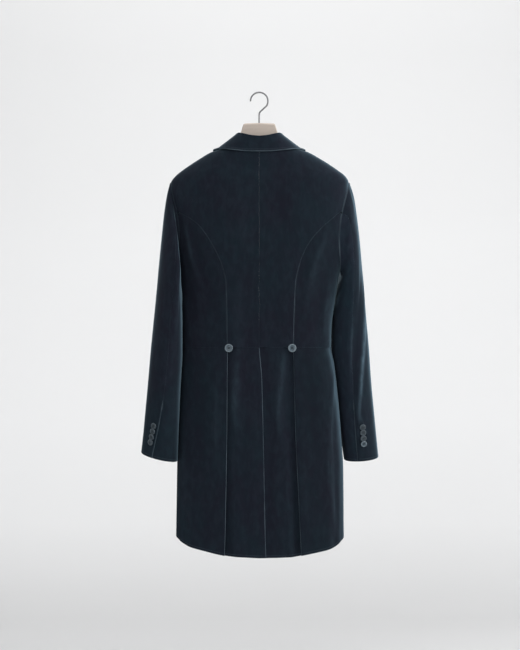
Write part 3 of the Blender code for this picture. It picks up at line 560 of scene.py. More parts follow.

# %% [markdown]
# ## Back, side bodies and fronts
#
# The back is cut in two halves with a seam down the middle. A narrow side body sits under each arm, and the
# curved seam beside it gives the waist its shape without a dart. The fronts carry the roll line: above the
# button the edge turns back, below it the right front slips under the left one.

# %% Back
# A gleam here and below is the strength of a highlight painted along an edge or fold of the velvet. The right
# armhole, on the side where the light comes from, gets far more than the left.
WAIST_GLEAM = 0.03
SEAM_GLEAM = 0.05
SIDE_BODY_GLEAM = 0.12
CURVE_GLEAM = 0.22
CURVE_GLEAM_RISE = 0.38
CURVE_GLEAM_FROM = -400 * MM
CURVE_GLEAM_OVER = 100 * MM
ARMHOLE_GLEAM = {"left": 0.2, "right": 0.9}
UNDERARM_GLEAM = 0.2
UNDERARM_GLEAM_OVER = 60 * MM


def back_panel(label, side):
    """Half of the back, from the centre seam out to the shoulder, the armhole and the curved seam."""
    z = body_rows
    centre = side * SEAM_GAP / 2 / half_width(z, side)
    shoulder = pi / 2 - ridge_gap(z)
    armhole = pi / 2 - armhole_angle(z, ARMHOLE_BACK)
    curved = seam_angle(z, side)
    below = z < TIP_Z
    curved[below] -= half_gap(curved[below], z[below])
    outer = side * np.where(z >= SHOULDER_Z, shoulder, np.where(below, curved, armhole))
    points, normals = body_grid(*((outer, centre) if side < 0 else (centre, outer)), z)
    curve, middle = ("first", "last") if side < 0 else ("last", "first")
    low = smooth_step((CURVE_GLEAM_FROM - z) / CURVE_GLEAM_OVER)
    gleam = np.where(below, CURVE_GLEAM + CURVE_GLEAM_RISE * low, ARMHOLE_GLEAM[label])[:, None]
    edges = {curve: gleam, middle: SEAM_GLEAM, "bottom": WAIST_GLEAM}
    cloth(f"back_{label}_velvet", points, normals, BODY_CLOTH, edges)


def side_body(label, side):
    """Narrow panel under the arm, from the curved seam to the side of the form."""
    z = seam_rows
    curved = seam_angle(z, side)
    inner = side * (curved + half_gap(curved, z))
    armhole = pi / 2 - armhole_angle(z, ARMHOLE_BACK)
    outer = side * np.where(z > UNDERARM_Z, armhole, pi / 2 - ridge_gap(z))
    points, normals = body_grid(*((outer, inner) if side < 0 else (inner, outer)), z)
    curve, ridge = ("last", "first") if side < 0 else ("first", "last")
    high = smooth_step((z - UNDERARM_Z) / UNDERARM_GLEAM_OVER)
    gleam = (UNDERARM_GLEAM + (ARMHOLE_GLEAM[label] - UNDERARM_GLEAM) * high)[:, None]
    edges = {curve: SIDE_BODY_GLEAM, ridge: gleam, "bottom": WAIST_GLEAM}
    cloth(f"side_body_{label}_velvet", points, normals, BODY_CLOTH, edges)


for label, side in SIDES.items():
    back_panel(label, side)
    side_body(label, side)
print("made", ", ".join(cloth_pieces))

# %% Fronts
NECK_CORNER = radians(9)
LAP_TOP_Z = -520 * MM
LAP_TOP_OVER = 25 * MM
LAP_RAMP_FROM = 44 * MM
LAP_RAMP_TO = 24 * MM
FREE_GLEAM = 0.4
EdgePoint = namedtuple("EdgePoint", "z out")
FRONT_EDGE = [
    EdgePoint(-122, 60),
    EdgePoint(-145, 62.5),
    EdgePoint(-180, 62.5),
    EdgePoint(-545, 1.5),
    EdgePoint(-575, -18),
    EdgePoint(-611, -18),
]
front_edge = curves(FRONT_EDGE, "z")["out"]


def front_edge_angle(z):
    """Angle of a front's free edge, as a positive number. It passes 180 degrees where the fronts lap."""
    out = front_edge(z / MM) * MM
    turn = abs(angle_at(abs(out), z, front=True))
    return np.where(out >= 0, turn, 2 * pi - turn)


def lap_under(points):
    """How far the right front slips in under the left one, below the roll line."""
    under = smooth_step((LAP_RAMP_FROM - points[..., 0]) / (LAP_RAMP_FROM - LAP_RAMP_TO))
    low = smooth_step((LAP_TOP_Z - points[..., 2]) / LAP_TOP_OVER)
    return -(BODY_CLOTH + LAYER_GAP) * under * low


def front_panel(label, side):
    """Front from the side of the form to its free edge."""
    z = body_rows
    armhole = pi / 2 + armhole_angle(z, ARMHOLE_FRONT)
    outer = side * np.where((z < SHOULDER_Z) & (z > UNDERARM_Z), armhole, pi / 2 + ridge_gap(z))
    neck = below_neck(z)
    corner = pi / 2 + NECK_CORNER
    edge = front_edge_angle(np.minimum(z, NECK_BLEND_Z))
    edge = side * (corner * (1 - neck) + edge * neck)

    if side < 0:
        points, normals = body_grid(edge, outer, z)
    else:
        points, normals = body_grid(outer, edge, z, lap_under)
    free, ridge = ("first", "last") if side < 0 else ("last", "first")
    edges = {free: FREE_GLEAM, ridge: SEAM_GLEAM, "bottom": SEAM_GLEAM}
    cloth(f"front_{label}_velvet", points, normals, BODY_CLOTH, edges, stitched=(free,))


for label, side in SIDES.items():
    front_panel(label, side)
print("made", ", ".join(list(cloth_pieces)[-2:]))

# %% [markdown]
# ## Lapels and collar
#
# A lapel is the top of the front turned back on itself. It is drawn as its own layer that floats a little
# above the front, with a soft roll where it turns. The collar is one strip: its stand rises from the neck,
# folds over and falls outside. From behind, only the fall and its rolled edge show.

# %% Lapels
LapelRow = namedtuple("LapelRow", "roll_z edge_out edge_z")
LAPEL = [
    LapelRow(-175.5, 142, -236.5),
    LapelRow(-215, 137, -262),
    LapelRow(-265, 124, -306),
    LapelRow(-330, 101, -365),
    LapelRow(-400, 76, -426),
    LapelRow(-465, 49, -482),
    LapelRow(-515, 23, -523),
    LapelRow(-540, 7.5, -541),
]
LAPEL_CLEAR = 1.5 * MM
ROLL_INSET = 0.5 * MM
LAPEL_TOP_GLEAM = 0.3
LAPEL_ROLL_GLEAM = 0.5
lapel_line = curves(LAPEL, "roll_z")


def lapel(label, side):
    """Top of a front turned back, from its roll line to its edge, as a layer above the front."""
    roll_z = heights_between([LAPEL[0].roll_z * MM, LAPEL[-1].roll_z * MM])
    inner_out = front_edge(roll_z / MM) * MM + ROLL_INSET
    edge_out = lapel_line["edge_out"](roll_z / MM) * MM
    edge_z = lapel_line["edge_z"](roll_z / MM) * MM
    share = spread(edge_out - inner_out)
    x = side * (inner_out[:, None] + (edge_out - inner_out)[:, None] * share)
    z = roll_z[:, None] + (edge_z - roll_z)[:, None] * share
    angle = angle_at(x, z, front=True)
    on_form = form_point(angle, z)
    out = COLLAR_CLOTH + LAPEL_CLEAR + crease_lift(on_form)
    points = on_form + form_normal(angle, z) * out[..., None]
    if side > 0:
        points = points[:, ::-1]
    free, turned_back = ("first", "last") if side > 0 else ("last", "first")
    edges = {"top": LAPEL_TOP_GLEAM, free: FREE_GLEAM, turned_back: LAPEL_ROLL_GLEAM}
    normals = grid_normals(points)
    cloth(f"lapel_{label}_velvet", points, normals, COLLAR_CLOTH, edges, stitched=("top", free))


for label, side in SIDES.items():
    lapel(label, side)
print("made", ", ".join(list(cloth_pieces)[-2:]))

# %% Sections of the collar
CollarPoint = namedtuple("CollarPoint", "at foot_x foot_y foot_z fold_x fold_y fold_z edge_x edge_y edge_z")
COLLAR = [
    CollarPoint(0, 0, -50.2, -131.6, 0, -58.5, -105, 0, -67.5, -142.5),
    CollarPoint(1, 22, -49.2, -131, 20, -57.5, -103, 28, -67, -142),
    CollarPoint(2, 42, -41.5, -128.2, 38, -50, -98.8, 62, -62, -138.5),
    CollarPoint(3, 54, -26, -124.6, 49, -33, -96.5, 89, -46, -135),
    CollarPoint(4, 59.2, -6, -121.6, 54.5, -8, -98.5, 104, -14, -136),
    CollarPoint(5, 58, 17, -122.5, 57, 16, -108, 108, 20, -143),
    CollarPoint(6, 58, 37, -131, 58, 38, -124, 108, 44, -154),
    CollarPoint(7, 58.5, 52, -148, 60, 55, -142, 106, 62, -173),
    CollarPoint(8, 59, 63, -171, 60.5, 69, -170, 98, 70, -199.5),
]
COLLAR_CLEAR_BACK = 1.1 * MM
COLLAR_CLEAR_FRONT = 2.6 * MM
COLLAR_CLEAR_OVER = 30 * MM
COLLAR_TURN = COLLAR_CLOTH + LAYER_GAP / 2
collar_line = curves(COLLAR, "at")


def pushed_out(points, out):
    """The points, moved out where they are less than this far above the form. The neck above it is open."""
    side = np.where(points[..., 0] >= 0, 1, -1)
    z = points[..., 2]
    depth = np.where(points[..., 1] < 0, form["back"](z / MM), form["front"](z / MM)) * MM
    angle = side * np.arctan2(abs(points[..., 0]) / half_width(z, side), -points[..., 1] / depth)
    normal = form_normal(angle, z)
    above = np.sum((points - form_point(angle, z)) * normal, axis=-1)
    free = np.maximum(0.0, z - FORM[0].z * MM)
    return points + normal * np.maximum(0.0, out - above - free)[..., None]


print(len(COLLAR), "sections of the collar from the centre back to each end")

# %% Collar
COLLAR_FALL = 38 * MM
COLLAR_STATIONS = 121
STAND_ROWS = 7
TURN_ROWS = 13
COLLAR_EDGE_GLEAM = 0.9


def collar():
    """Collar in rows from the foot of its stand over the fold to its outer edge."""
    station = np.linspace(-1, 1, COLLAR_STATIONS)
    where = abs(station) * COLLAR[-1].at
    foot, fold, edge = (
        np.stack([collar_line[f"{part}_{axis}"](where) * MM for axis in "xyz"], axis=-1)
        for part in ("foot", "fold", "edge")
    )
    up = unit(fold - foot)
    out = edge - fold
    out = unit(out - up * np.sum(out * up, axis=-1, keepdims=True))
    centre = fold - up * COLLAR_TURN
    clear = COLLAR_CLOTH + LAYER_GAP + COLLAR_CLEAR_BACK
    forward = smooth_step(edge[:, 1] / COLLAR_CLEAR_OVER + 0.5)
    clear = clear + (COLLAR_CLEAR_FRONT - COLLAR_CLEAR_BACK) * forward
    stand_top = centre - out * COLLAR_TURN
    rows = [foot + (stand_top - foot) * share for share in np.linspace(0, 1, STAND_ROWS)]
    for turned in np.linspace(0, pi, TURN_ROWS)[1:-1]:
        rows.append(centre - out * COLLAR_TURN * cos(turned) + up * COLLAR_TURN * sin(turned))
    fall_top = centre + out * COLLAR_TURN
    fall = spread(COLLAR_FALL, 4 * MM)[0]
    rows += [fall_top + (edge - fall_top) * share for share in fall]
    points = np.stack(rows)
    outside = slice(STAND_ROWS + TURN_ROWS // 2, None)
    points[outside] = pushed_out(points[outside], clear)
    points[..., 0] *= np.where(station < 0, -1, 1)
    edges = {"bottom": COLLAR_EDGE_GLEAM, "first": FREE_GLEAM, "last": FREE_GLEAM}
    cloth("collar_velvet", points, grid_normals(points), COLLAR_CLOTH, edges, stitched=tuple(edges))


collar()
print("made", list(cloth_pieces)[-1])

# %% [markdown]
# ## Skirts
#
# Below the waist the coat has four skirts. Each side skirt ends at the back in a pressed pleat that turns
# under, hung from the waist button. The back skirts start beneath that pleat, come forward to the level of
# the coat and meet at the centre vent, left over right. The hem falls to the back and the front edge is cut
# away to the waist.

# %% Folds, hem and slow waves
PLEAT_RETURN = 25 * MM
Fold = namedtuple("Fold", "z left right vent")
FOLDS = [
    Fold(-611, 75.5, 81.5, 0.5),
    Fold(-690, 76, 83.5, 7),
    Fold(-833, 77, 87.5, 10.5),
    Fold(-930, 78.5, 92, 12.5),
    Fold(-1075, 81.5, 99, 15.5),
    Fold(-1125, 83, 101.5, 17),
]
HemPoint = namedtuple("HemPoint", "angle left right")
HEM = [
    HemPoint(0, -1114, -1114),
    HemPoint(20, -1110, -1112),
    HemPoint(40, -1096, -1101),
    HemPoint(57, -1084, -1090),
    HemPoint(72, -1069, -1073),
    HemPoint(90, -1050, -1050),
    HemPoint(102, -1028, -1028),
    HemPoint(115, -975, -975),
    HemPoint(128, -900, -900),
    HemPoint(142, -805, -805),
    HemPoint(155, -715, -715),
    HemPoint(168, -650, -650),
    HemPoint(180, -622, -622),
]
Flute = namedtuple("Flute", "angle spread depth")
FLUTES = [
    Flute(58, 9, -3.0),
    Flute(76, 8, 3.5),
    Flute(101, 11, -3.5),
    Flute(126, 12, 4.0),
    Flute(149, 11, -3.0),
]
SIDE_FOLD_ANGLE = radians(25)
BACK_FOLD_ANGLE = radians(14)
SKIRT_LENGTH = 480 * MM
CREASES_SET_IN = 6
FLUTE_SWELL = 1.3
fold_line = curves(FOLDS, "z")
hem_line = curves(HEM, "angle")
skirt_down = (heights_between([0.0, -SKIRT_LENGTH], 6 * MM) / -SKIRT_LENGTH)[:, None]
below_waist_seam = np.minimum(1, skirt_down * CREASES_SET_IN)


def skirt_height(angle, down):
    """Height on a skirt, by the angle round the form and the share of the way down to the hem."""
    top = WAIST_Z - SEAM_GAP / 2
    turn = abs(np.degrees(angle))
    hem = np.where(angle < 0, hem_line["left"](turn), hem_line["right"](turn)) * MM
    return top + (hem - top) * down


def flute_out(angle, down):
    """How far the slow waves of the skirt stand out, more and more towards the hem."""
    turn = abs(np.degrees(angle))
    swell = sum(f.depth * smooth_step(1 - abs(turn - f.angle) / f.spread) for f in FLUTES)
    return swell * MM * down ** FLUTE_SWELL


print("skirts of", len(skirt_down), "rows with", len(FLUTES), "slow waves a side")

# %% Side skirts
RETURN_COLUMNS = 5
TURN_COLUMNS = 11
FRONT_CORNER_INSET = 2 * MM
SKIRT_ARC = 0.72
# Painted highlights along the hem and along each pleat's fold, stronger on the left pleat.
HEM_GLEAM = 0.3
PLEAT_GLEAM = {"left": 2.2, "right": 1.2}


def side_skirt(label, side):
    """Side skirt in three strips: the cloth behind the pleat, its round turn, and the part that shows."""
    turn = SKIRT_CLOTH + LAYER_GAP / 2
    estimate = skirt_height(SIDE_FOLD_ANGLE, skirt_down)
    fold = at_side(fold_line, side, estimate)
    front = pi - FRONT_CORNER_INSET / half_width(WAIST_Z, side)
    under = np.linspace(1, 0, RETURN_COLUMNS + 1)[None, :-1]
    lean = np.linspace(pi, 0, TURN_COLUMNS)[None, :]
    start = abs(angle_at(side * (fold + turn), estimate))
    width = (front - start)[:, 0] * half_width(WAIST_Z, side) * SKIRT_ARC
    strips = (
        (angle_at(side * (fold + turn + PLEAT_RETURN * under), estimate), 2 * turn, pi),
        (angle_at(side * (fold + turn - turn * np.sin(lean)), estimate), turn - turn * np.cos(lean), lean),
        (side * (start + (front - start) * spread(width, 7 * MM)[:, 1:]), 0.0, 0.0),
    )
    strips = [np.broadcast_arrays(*strip) for strip in strips]
    angle, depth, lean = (np.concatenate(columns, axis=1) for columns in zip(*strips))
    z = skirt_height(angle, skirt_down)
    normal = form_normal(angle, z)
    flat = form_point(angle, z)
    creases = crease_lift(flat) * below_waist_seam
    points = flat + normal * (flute_out(angle, skirt_down) - depth + creases)[..., None]
    toward_centre = unit(np.cross(np.array([0, 0, 1.0]), normal)) * -side
    normals = unit(normal * np.cos(lean)[..., None] + toward_centre * np.sin(lean)[..., None])
    if side < 0:
        points, normals = points[:, ::-1], normals[:, ::-1]
    free = "last" if side > 0 else "first"
    pleat = RETURN_COLUMNS + TURN_COLUMNS // 2
    pleat = pleat if side > 0 else points.shape[1] - 1 - pleat
    edges = {"top": WAIST_GLEAM, "bottom": HEM_GLEAM, free: FREE_GLEAM}
    folds = [("first", pleat, PLEAT_GLEAM[label])]
    cloth(f"side_skirt_{label}_velvet", points, normals, SKIRT_CLOTH, edges, folds, stitched=("bottom",))


for label, side in SIDES.items():
    side_skirt(label, side)
print("made", ", ".join(list(cloth_pieces)[-2:]))

# %% Back skirts
Recess = namedtuple("Recess", "down depth")
PLEAT_RECESS = [Recess(0, 0), Recess(0.3, 2), Recess(0.7, 5), Recess(1, 8)]
FLUTE_WIDTH = 29 * MM
VENT_LAP = 38 * MM
VENT_SINK_FROM = 32 * MM
VENT_SINK_TO = 4 * MM
RISE_COLUMNS = 8
CALM_BESIDE_FOLD = 12 * MM
VENT_GLEAM = 0.7
recess_line = curves(PLEAT_RECESS, "down")["depth"]


def back_skirt(label, side):
    """Back skirt in three strips: behind the pleat, rising out of it, and on to the vent."""
    under_pleat = 2 * SKIRT_CLOTH + 2 * LAYER_GAP
    estimate = skirt_height(BACK_FOLD_ANGLE, skirt_down)
    fold = at_side(fold_line, side, estimate)
    vent = fold_line["vent"](estimate / MM) * MM
    recess = under_pleat + recess_line(skirt_down) * MM
    back = np.linspace(1, 0, RETURN_COLUMNS + 1)[None, :]
    rise = np.linspace(0, 1, RISE_COLUMNS + 1)[None, 1:]
    return_x = side * (fold + PLEAT_RETURN * back)
    return_sunk = under_pleat + (recess - under_pleat) * smooth_step(1 - back)
    rise_x = side * (fold - FLUTE_WIDTH * rise)
    rise_sunk = recess * (1 - smooth_step(rise))
    end = vent if side < 0 else vent - VENT_LAP
    share = spread(abs(end - rise_x[:, -1:])[:, 0])[:, 1:]
    flat_x = rise_x[:, -1:] + (end - rise_x[:, -1:]) * share
    lap = smooth_step((vent + VENT_SINK_FROM - flat_x) / (VENT_SINK_FROM - VENT_SINK_TO))
    flat_sunk = (SKIRT_CLOTH + LAYER_GAP) * lap if side > 0 else np.zeros_like(flat_x)
    x = np.concatenate((return_x, rise_x, flat_x), axis=1)
    sunk = np.concatenate((return_sunk, rise_sunk, flat_sunk), axis=1)
    angle = angle_at(x, estimate)
    z = skirt_height(angle, skirt_down)
    flat = form_point(angle, z)
    calm = smooth_step((fold - abs(x)) / CALM_BESIDE_FOLD) * below_waist_seam
    points = flat - form_normal(angle, z) * (sunk - crease_lift(flat) * calm)[..., None]
    if side > 0:
        points = points[:, ::-1]
    edges = {"top": WAIST_GLEAM, "bottom": HEM_GLEAM, "last" if side < 0 else "first": VENT_GLEAM}
    normals = grid_normals(points)
    cloth(f"back_skirt_{label}_velvet", points, normals, SKIRT_CLOTH, edges, stitched=("bottom",))


for label, side in SIDES.items():
    back_skirt(label, side)
print("made", ", ".join(list(cloth_pieces)[-2:]))

# %% [markdown]
# ## Sleeves
#
# A tailored sleeve is two pieces: a wide top sleeve and a narrow under sleeve, joined along a hind seam and
# a fore seam. It hangs forward from the armhole with a bend at the elbow. Rings down the arm give its shape;
# they start on the armhole itself, and a smooth curve runs from ring to ring. Both pieces are then cut from
# that one tube, so they meet along their seams whatever creases the tube has.

# %% Sleeve rings
Ring = namedtuple("Ring", "outer outer_z inner inner_z y half yaw twist tuck")
SLEEVE_RINGS = {
    "left": [
        Ring(216.5, -224, 197, -436, -5, 50, 0, 0, 9),
        Ring(222, -248, 197.5, -440, -12, 58, 3, 0, 12),
        Ring(228, -290, 196, -446, -19, 64, 5, -2, 13),
        Ring(233, -345, 192.5, -457, -26, 68, 8, -4, 10),
        Ring(238.5, -405, 189, -474, -31, 69, 9, -6, 6),
        Ring(244, -465, 187, -503, -33, 68, 10, -8, 3),
        Ring(251, -535, 185, -549, -33, 65, 10, -10, 0),
        Ring(259, -612, 184.5, -621, -32, 62, 9, -12, 0),
        Ring(266, -690, 188.5, -703, -31, 58, 7, -13, 0),
        Ring(274, -775, 192, -789, -32, 52, 4, -9, 0),
        Ring(283, -863, 195, -883, -34, 44.5, 0, 4, 0),
    ],
    "right": [
        Ring(220, -224, 195.5, -436, 4, 50, 0, 0, 0),
        Ring(227.5, -248, 196.5, -440, 10, 57, -3, -3, 0),
        Ring(234, -290, 195, -446, 17, 62, -5, -6, 0),
        Ring(240, -345, 191, -457, 22, 65, -7, -9, 0),
        Ring(245, -405, 186.5, -474, 26, 66, -8, -12, 0),
        Ring(250, -465, 180.5, -503, 30, 65, -9, -15, 0),
        Ring(257, -535, 173, -549, 34, 61, -9, -19, 0),
        Ring(264.5, -612, 172, -621, 37, 58, -8, -23, 0),
        Ring(270, -690, 182, -703, 39, 56, -6, -27, 0),
        Ring(278, -775, 191, -789, 39, 50.5, -3, -30, 0),
        Ring(288, -876, 204.5, -882, 39, 44, 0, -32, 0),
    ],
}
SLEEVE_HEAD_RISE = 1.4 * MM
CUFF_SLANT = 6.5 * MM
SLEEVE_SAMPLES = 120
HIND_SEAM = radians(18)
FORE_SEAM = radians(216)
HEAD_STEPS = 9
ARM_STEPS = 100
CUFF_STARTS = 10.6
CUFF_STEPS = [10.72, 10.82, 10.9, 10.95, 10.98]
turn_round = np.linspace(0, 2 * pi, SLEEVE_SAMPLES, endpoint=False)
print({label: len(rings) for label, rings in SLEEVE_RINGS.items()}, "rings down the sleeves")


# %% A tube through the rings
def armhole_loop(side):
    """Points of the armhole from its back edge, with the form's normals and the ways into the hole."""
    middle = (SHOULDER_Z + UNDERARM_Z) / 2
    z = middle + (SHOULDER_Z - middle) * np.sin(turn_round)
    at_back = np.cos(turn_round) >= 0
    opened = np.where(at_back, ARMHOLE_BACK, ARMHOLE_FRONT)
    angle = side * (pi / 2 - opened * abs(np.cos(turn_round)) * np.where(at_back, 1, -1))
    points, normals = form_point(angle, z), form_normal(angle, z)
    along = np.roll(points, -1, axis=0) - np.roll(points, 1, axis=0)
    return points, normals, unit(np.cross(along, normals)) * side


def sleeve_tube(label, side):
    """Smooth tube of a sleeve as (rings, samples round, 3), and the share of the way down of each ring."""
    points, normals, into = armhole_loop(side)
    sewn_in = points + into * SEAM_GAP - normals * BODY_CLOTH / 2
    head = points + into * SEAM_GAP * 1.5 + normals * SLEEVE_HEAD_RISE
    rings = [sewn_in, head]
    for ring in SLEEVE_RINGS[label]:
        outer = np.array([ring.outer, 0, ring.outer_z]) * MM
        inner = np.array([ring.inner, 0, ring.inner_z]) * MM
        middle, reach = (outer + inner) / 2, (outer - inner) / 2
        psi = turn_round + radians(ring.twist)
        y = -ring.half * MM * np.cos(psi)
        across = reach[0] * np.sin(psi)
        yaw = radians(ring.yaw)
        x = across * cos(yaw) + y * sin(yaw) - ring.tuck * MM * np.maximum(0, np.cos(psi)) ** 2
        y = y * cos(yaw) - across * sin(yaw)
        slant = CUFF_SLANT if ring is SLEEVE_RINGS[label][-1] else 0.0
        z = middle[2] + reach[2] * np.sin(psi) - slant * np.cos(psi)
        rings.append(np.stack((side * (middle[0] + x), ring.y * MM + y, z), axis=-1))
    last = len(SLEEVE_RINGS[label])
    place = np.concatenate(([0, 0.35], np.linspace(1, last, last)))
    head_rows, arm_rows = np.linspace(0, 1, HEAD_STEPS)[:-1], np.linspace(1, CUFF_STARTS, ARM_STEPS)
    down = np.concatenate((head_rows, arm_rows, CUFF_STEPS, [last]))
    return smooth_curve(place, np.stack(rings))(down), down / last


def tube_normals(tube, side):
    """Outward normals of a tube that closes round its columns."""
    down = np.gradient(tube, axis=0)
    across = np.roll(tube, -1, axis=1) - np.roll(tube, 1, axis=1)
    return unit(np.cross(down, across)) * side


print("a sleeve is a tube of", sleeve_tube("left", SIDES["left"])[0].shape[:2], "points")

# %% Sleeve creases
SleeveCrease = namedtuple("SleeveCrease", "turn0 down0 turn1 down1 width height")
SLEEVE_CREASES = {
    "left": [
        SleeveCrease(-12, 0.30, -4, 0.80, 7, 2.0),
        SleeveCrease(14, 0.34, 20, 0.62, 8, -1.8),
        SleeveCrease(-30, 0.36, -52, 0.66, 9, -1.6),
        SleeveCrease(40, 0.08, 26, 0.40, 9, 1.4),
        SleeveCrease(64, 0.05, 40, 0.30, 9, -1.4),
        SleeveCrease(-62, 0.42, -84, 0.60, 9, 2.0),
        SleeveCrease(150, 0.30, 176, 0.70, 11, 1.6),
        SleeveCrease(120, 0.50, 140, 0.86, 10, -1.5),
        SleeveCrease(205, 0.38, 228, 0.62, 10, 1.8),
        SleeveCrease(236, 0.44, 250, 0.70, 9, -1.6),
        SleeveCrease(30, 0.62, 22, 0.88, 8, 1.3),
    ],
    "right": [
        SleeveCrease(88, 0.46, 26, 0.97, 7, 3.3),
        SleeveCrease(66, 0.40, 8, 0.93, 8, -2.0),
        SleeveCrease(22, 0.58, 12, 0.88, 6, 1.5),
        SleeveCrease(0, 0.36, -6, 0.80, 8, -1.5),
        SleeveCrease(36, 0.90, 62, 0.955, 5, 1.3),
        SleeveCrease(8, 0.89, 36, 0.935, 5, -1.2),
        SleeveCrease(30, 0.06, 34, 0.30, 9, 1.2),
        SleeveCrease(70, 0.05, 66, 0.26, 9, -1.3),
        SleeveCrease(96, 0.30, 104, 0.66, 9, 1.8),
        SleeveCrease(150, 0.34, 170, 0.74, 11, -1.7),
        SleeveCrease(190, 0.42, 214, 0.64, 10, 1.8),
        SleeveCrease(-40, 0.46, -62, 0.64, 9, 1.8),
        SleeveCrease(240, 0.40, 256, 0.66, 9, -1.5),
    ],
}


def sleeve_lift(label, down):
    """How far the sleeve's creases lift each point of the tube."""
    turn = np.degrees(turn_round)[None, :]
    share = down[:, None]
    lift = np.zeros((len(down), len(turn_round)))
    for row in SLEEVE_CREASES[label]:
        along = np.clip((share - row.down0) / (row.down1 - row.down0), 0, 1)
        middle = row.turn0 + (row.turn1 - row.turn0) * along
        aside = (turn - middle + 180) % 360 - 180
        lift += row.height * np.exp(-(aside / row.width) ** 2) * np.sin(pi * along) ** CREASE_TAPER
    return lift * MM


print({label: len(rows) for label, rows in SLEEVE_CREASES.items()}, "creases on the sleeves")

# %% Sleeve pieces
SleeveCut = namedtuple("SleeveCut", "start end hind vent_lift")
SLEEVE_CUTS = {
    "upper": SleeveCut(HIND_SEAM, FORE_SEAM, "first", 0.9 * MM),
    "under": SleeveCut(FORE_SEAM, HIND_SEAM + 2 * pi, "last", -1.9 * MM),
}
VENT_FROM = 0.855
VENT_OPENS_OVER = 0.03
VENT_LAPS_OVER = 0.02
VENT_LAP_TURN = radians(9)
BESIDE_VENT = 16 * MM
HEAD_ROW = 2
# Painted highlights along the sleeve's seams, its vent and its cuff.
SLEEVE_SEAM_GLEAM = 0.04
SLEEVE_VENT_GLEAM = 0.5
CUFF_GLEAM = 0.35
# How strongly the sleeve's creases paint a highlight on their crests and shade in their hollows, more on the
# right sleeve where the light comes from.
SLEEVE_CREST_HIGHLIGHT = {"left": 1.3, "right": 2.5}


def sleeve_piece(name, label, side, cut):
    """Part of the tube between two seams. Near the cuff the vent moves its hind edge out or in."""
    tube, down = sleeve_tube(label, side)
    normals = tube_normals(tube, side)
    tube = tube + normals * sleeve_lift(label, down)[..., None]
    wrap = np.concatenate((turn_round - 2 * pi, turn_round, turn_round + 2 * pi))
    span = cut.end - cut.start
    width = np.linalg.norm(np.diff(tube, axis=1), axis=-1).sum(axis=1) * span / (2 * pi)
    share = spread(width)
    lapped = smooth_step((down - VENT_FROM - VENT_OPENS_OVER) / VENT_LAPS_OVER)
    lap = VENT_LAP_TURN * lapped if cut.hind == "last" else 0 * down
    turn = cut.start + (span + lap[:, None]) * share
    gap = SEAM_GAP / 2 / width * span
    turn = turn + gap[:, None] * (1 - 2 * share)
    # The crest number paints a highlight on raised creases and shade in sunk ones.
    crest_highlight = SLEEVE_CREST_HIGHLIGHT[label] * sleeve_lift(label, down) / MM
    on_tube = np.concatenate((tube, normals, crest_highlight[..., None]), axis=-1)
    on_piece = np.empty((*turn.shape, on_tube.shape[-1]))
    for i, k in np.ndindex(len(turn), on_tube.shape[-1]):
        on_piece[i, :, k] = np.interp(turn[i], wrap, np.tile(on_tube[i, :, k], 3))
    points, facing, crest = on_piece[..., :3], unit(on_piece[..., 3:6]), on_piece[..., 6]
    from_hind = share if cut.hind == "first" else 1 - share
    beside = 1 - smooth_step(from_hind * width[:, None] / BESIDE_VENT)
    opening = smooth_step((down[:, None] - VENT_FROM) / VENT_OPENS_OVER)
    points = points + facing * (cut.vent_lift * beside * opening)[..., None]
    if side < 0:
        points, facing, crest = points[:, ::-1], facing[:, ::-1], crest[:, ::-1]
    gleam = SLEEVE_SEAM_GLEAM + SLEEVE_VENT_GLEAM * opening
    edges = {"first": gleam, "last": gleam, "bottom": CUFF_GLEAM}
    folds = [("top", HEAD_ROW, ARMHOLE_GLEAM[label])]
    cloth(name, points, facing, SLEEVE_CLOTH, edges, folds, ("bottom",), crest)


for label, side in SIDES.items():
    for cut_name, cut in SLEEVE_CUTS.items():
        sleeve_piece(f"sleeve_{cut_name}_{label}_velvet", label, side, cut)
face_count = sum(len(piece.data.polygons) for piece in cloth_pieces.values())
print("cloth so far:", face_count, "faces in", len(cloth_pieces), "pieces")

# %% [markdown]
# ## Shader maths
#
# A material is a small sum. One class wraps a socket so that the sum can be written as one, and one method
# makes every other node: its type, its settings, and then the values or links of its sockets. The tree that
# sews the stitches is built with the same method, because its nodes are wired in the same way.


# %% Sums of sockets
class Value:
    """What comes out of one socket of a tree of nodes. Sums of numbers make their own nodes."""

    def __init__(self, nodes, socket):
        self.nodes = nodes
        self.socket = socket

    def sum_with(self, operation, first, second):
        """Math node on two values or numbers."""
        return self.nodes.node("ShaderNodeMath", {"operation": operation}, {0: first, 1: second})

    def __add__(self, other):
        return self.sum_with("ADD", self, other)

    __radd__ = __add__

    def __sub__(self, other):
        return self.sum_with("SUBTRACT", self, other)

    def __rsub__(self, other):
        return self.sum_with("SUBTRACT", other, self)

    def __mul__(self, other):
        return self.sum_with("MULTIPLY", self, other)

    __rmul__ = __mul__

    def __pow__(self, other):
        return self.sum_with("POWER", self, other)

    def clipped(self):
        """The value kept between 0 and 1."""
        return self.nodes.node("ShaderNodeClamp", {}, {"Value": self})


print("values can be added, taken away, multiplied, raised to a power and clipped")


# %% Nodes and paints
class Nodes:
    """Tree of nodes, which is filled one node at a time."""

    def __init__(self, tree):
        self.tree = tree

    def node(self, kind, settings, values, out=0):
        """New node with its settings and then its values or links, as the value of one of its outputs."""
        made = self.tree.nodes.new(kind)
        for key, value in settings.items():
            if key == "stops":
                self.set_stops(made.color_ramp, value)
            else:
                setattr(made, key, value)
        for key, value in values.items():
            self.put(made.inputs[key], value)
        return Value(self, made.outputs[out])

    def put(self, socket, value):
        """A link or a plain value into a socket."""
        if isinstance(value, Value):
            self.tree.links.new(value.socket, socket)
        else:
            socket.default_value = value

    def set_stops(self, ramp, stops):
        """Places and grey levels along a ramp."""
        while len(ramp.elements) < len(stops):
            ramp.elements.new(1.0)
        for element, (place, level) in zip(ramp.elements, stops):
            element.position = place
            element.color = (level, level, level, 1)


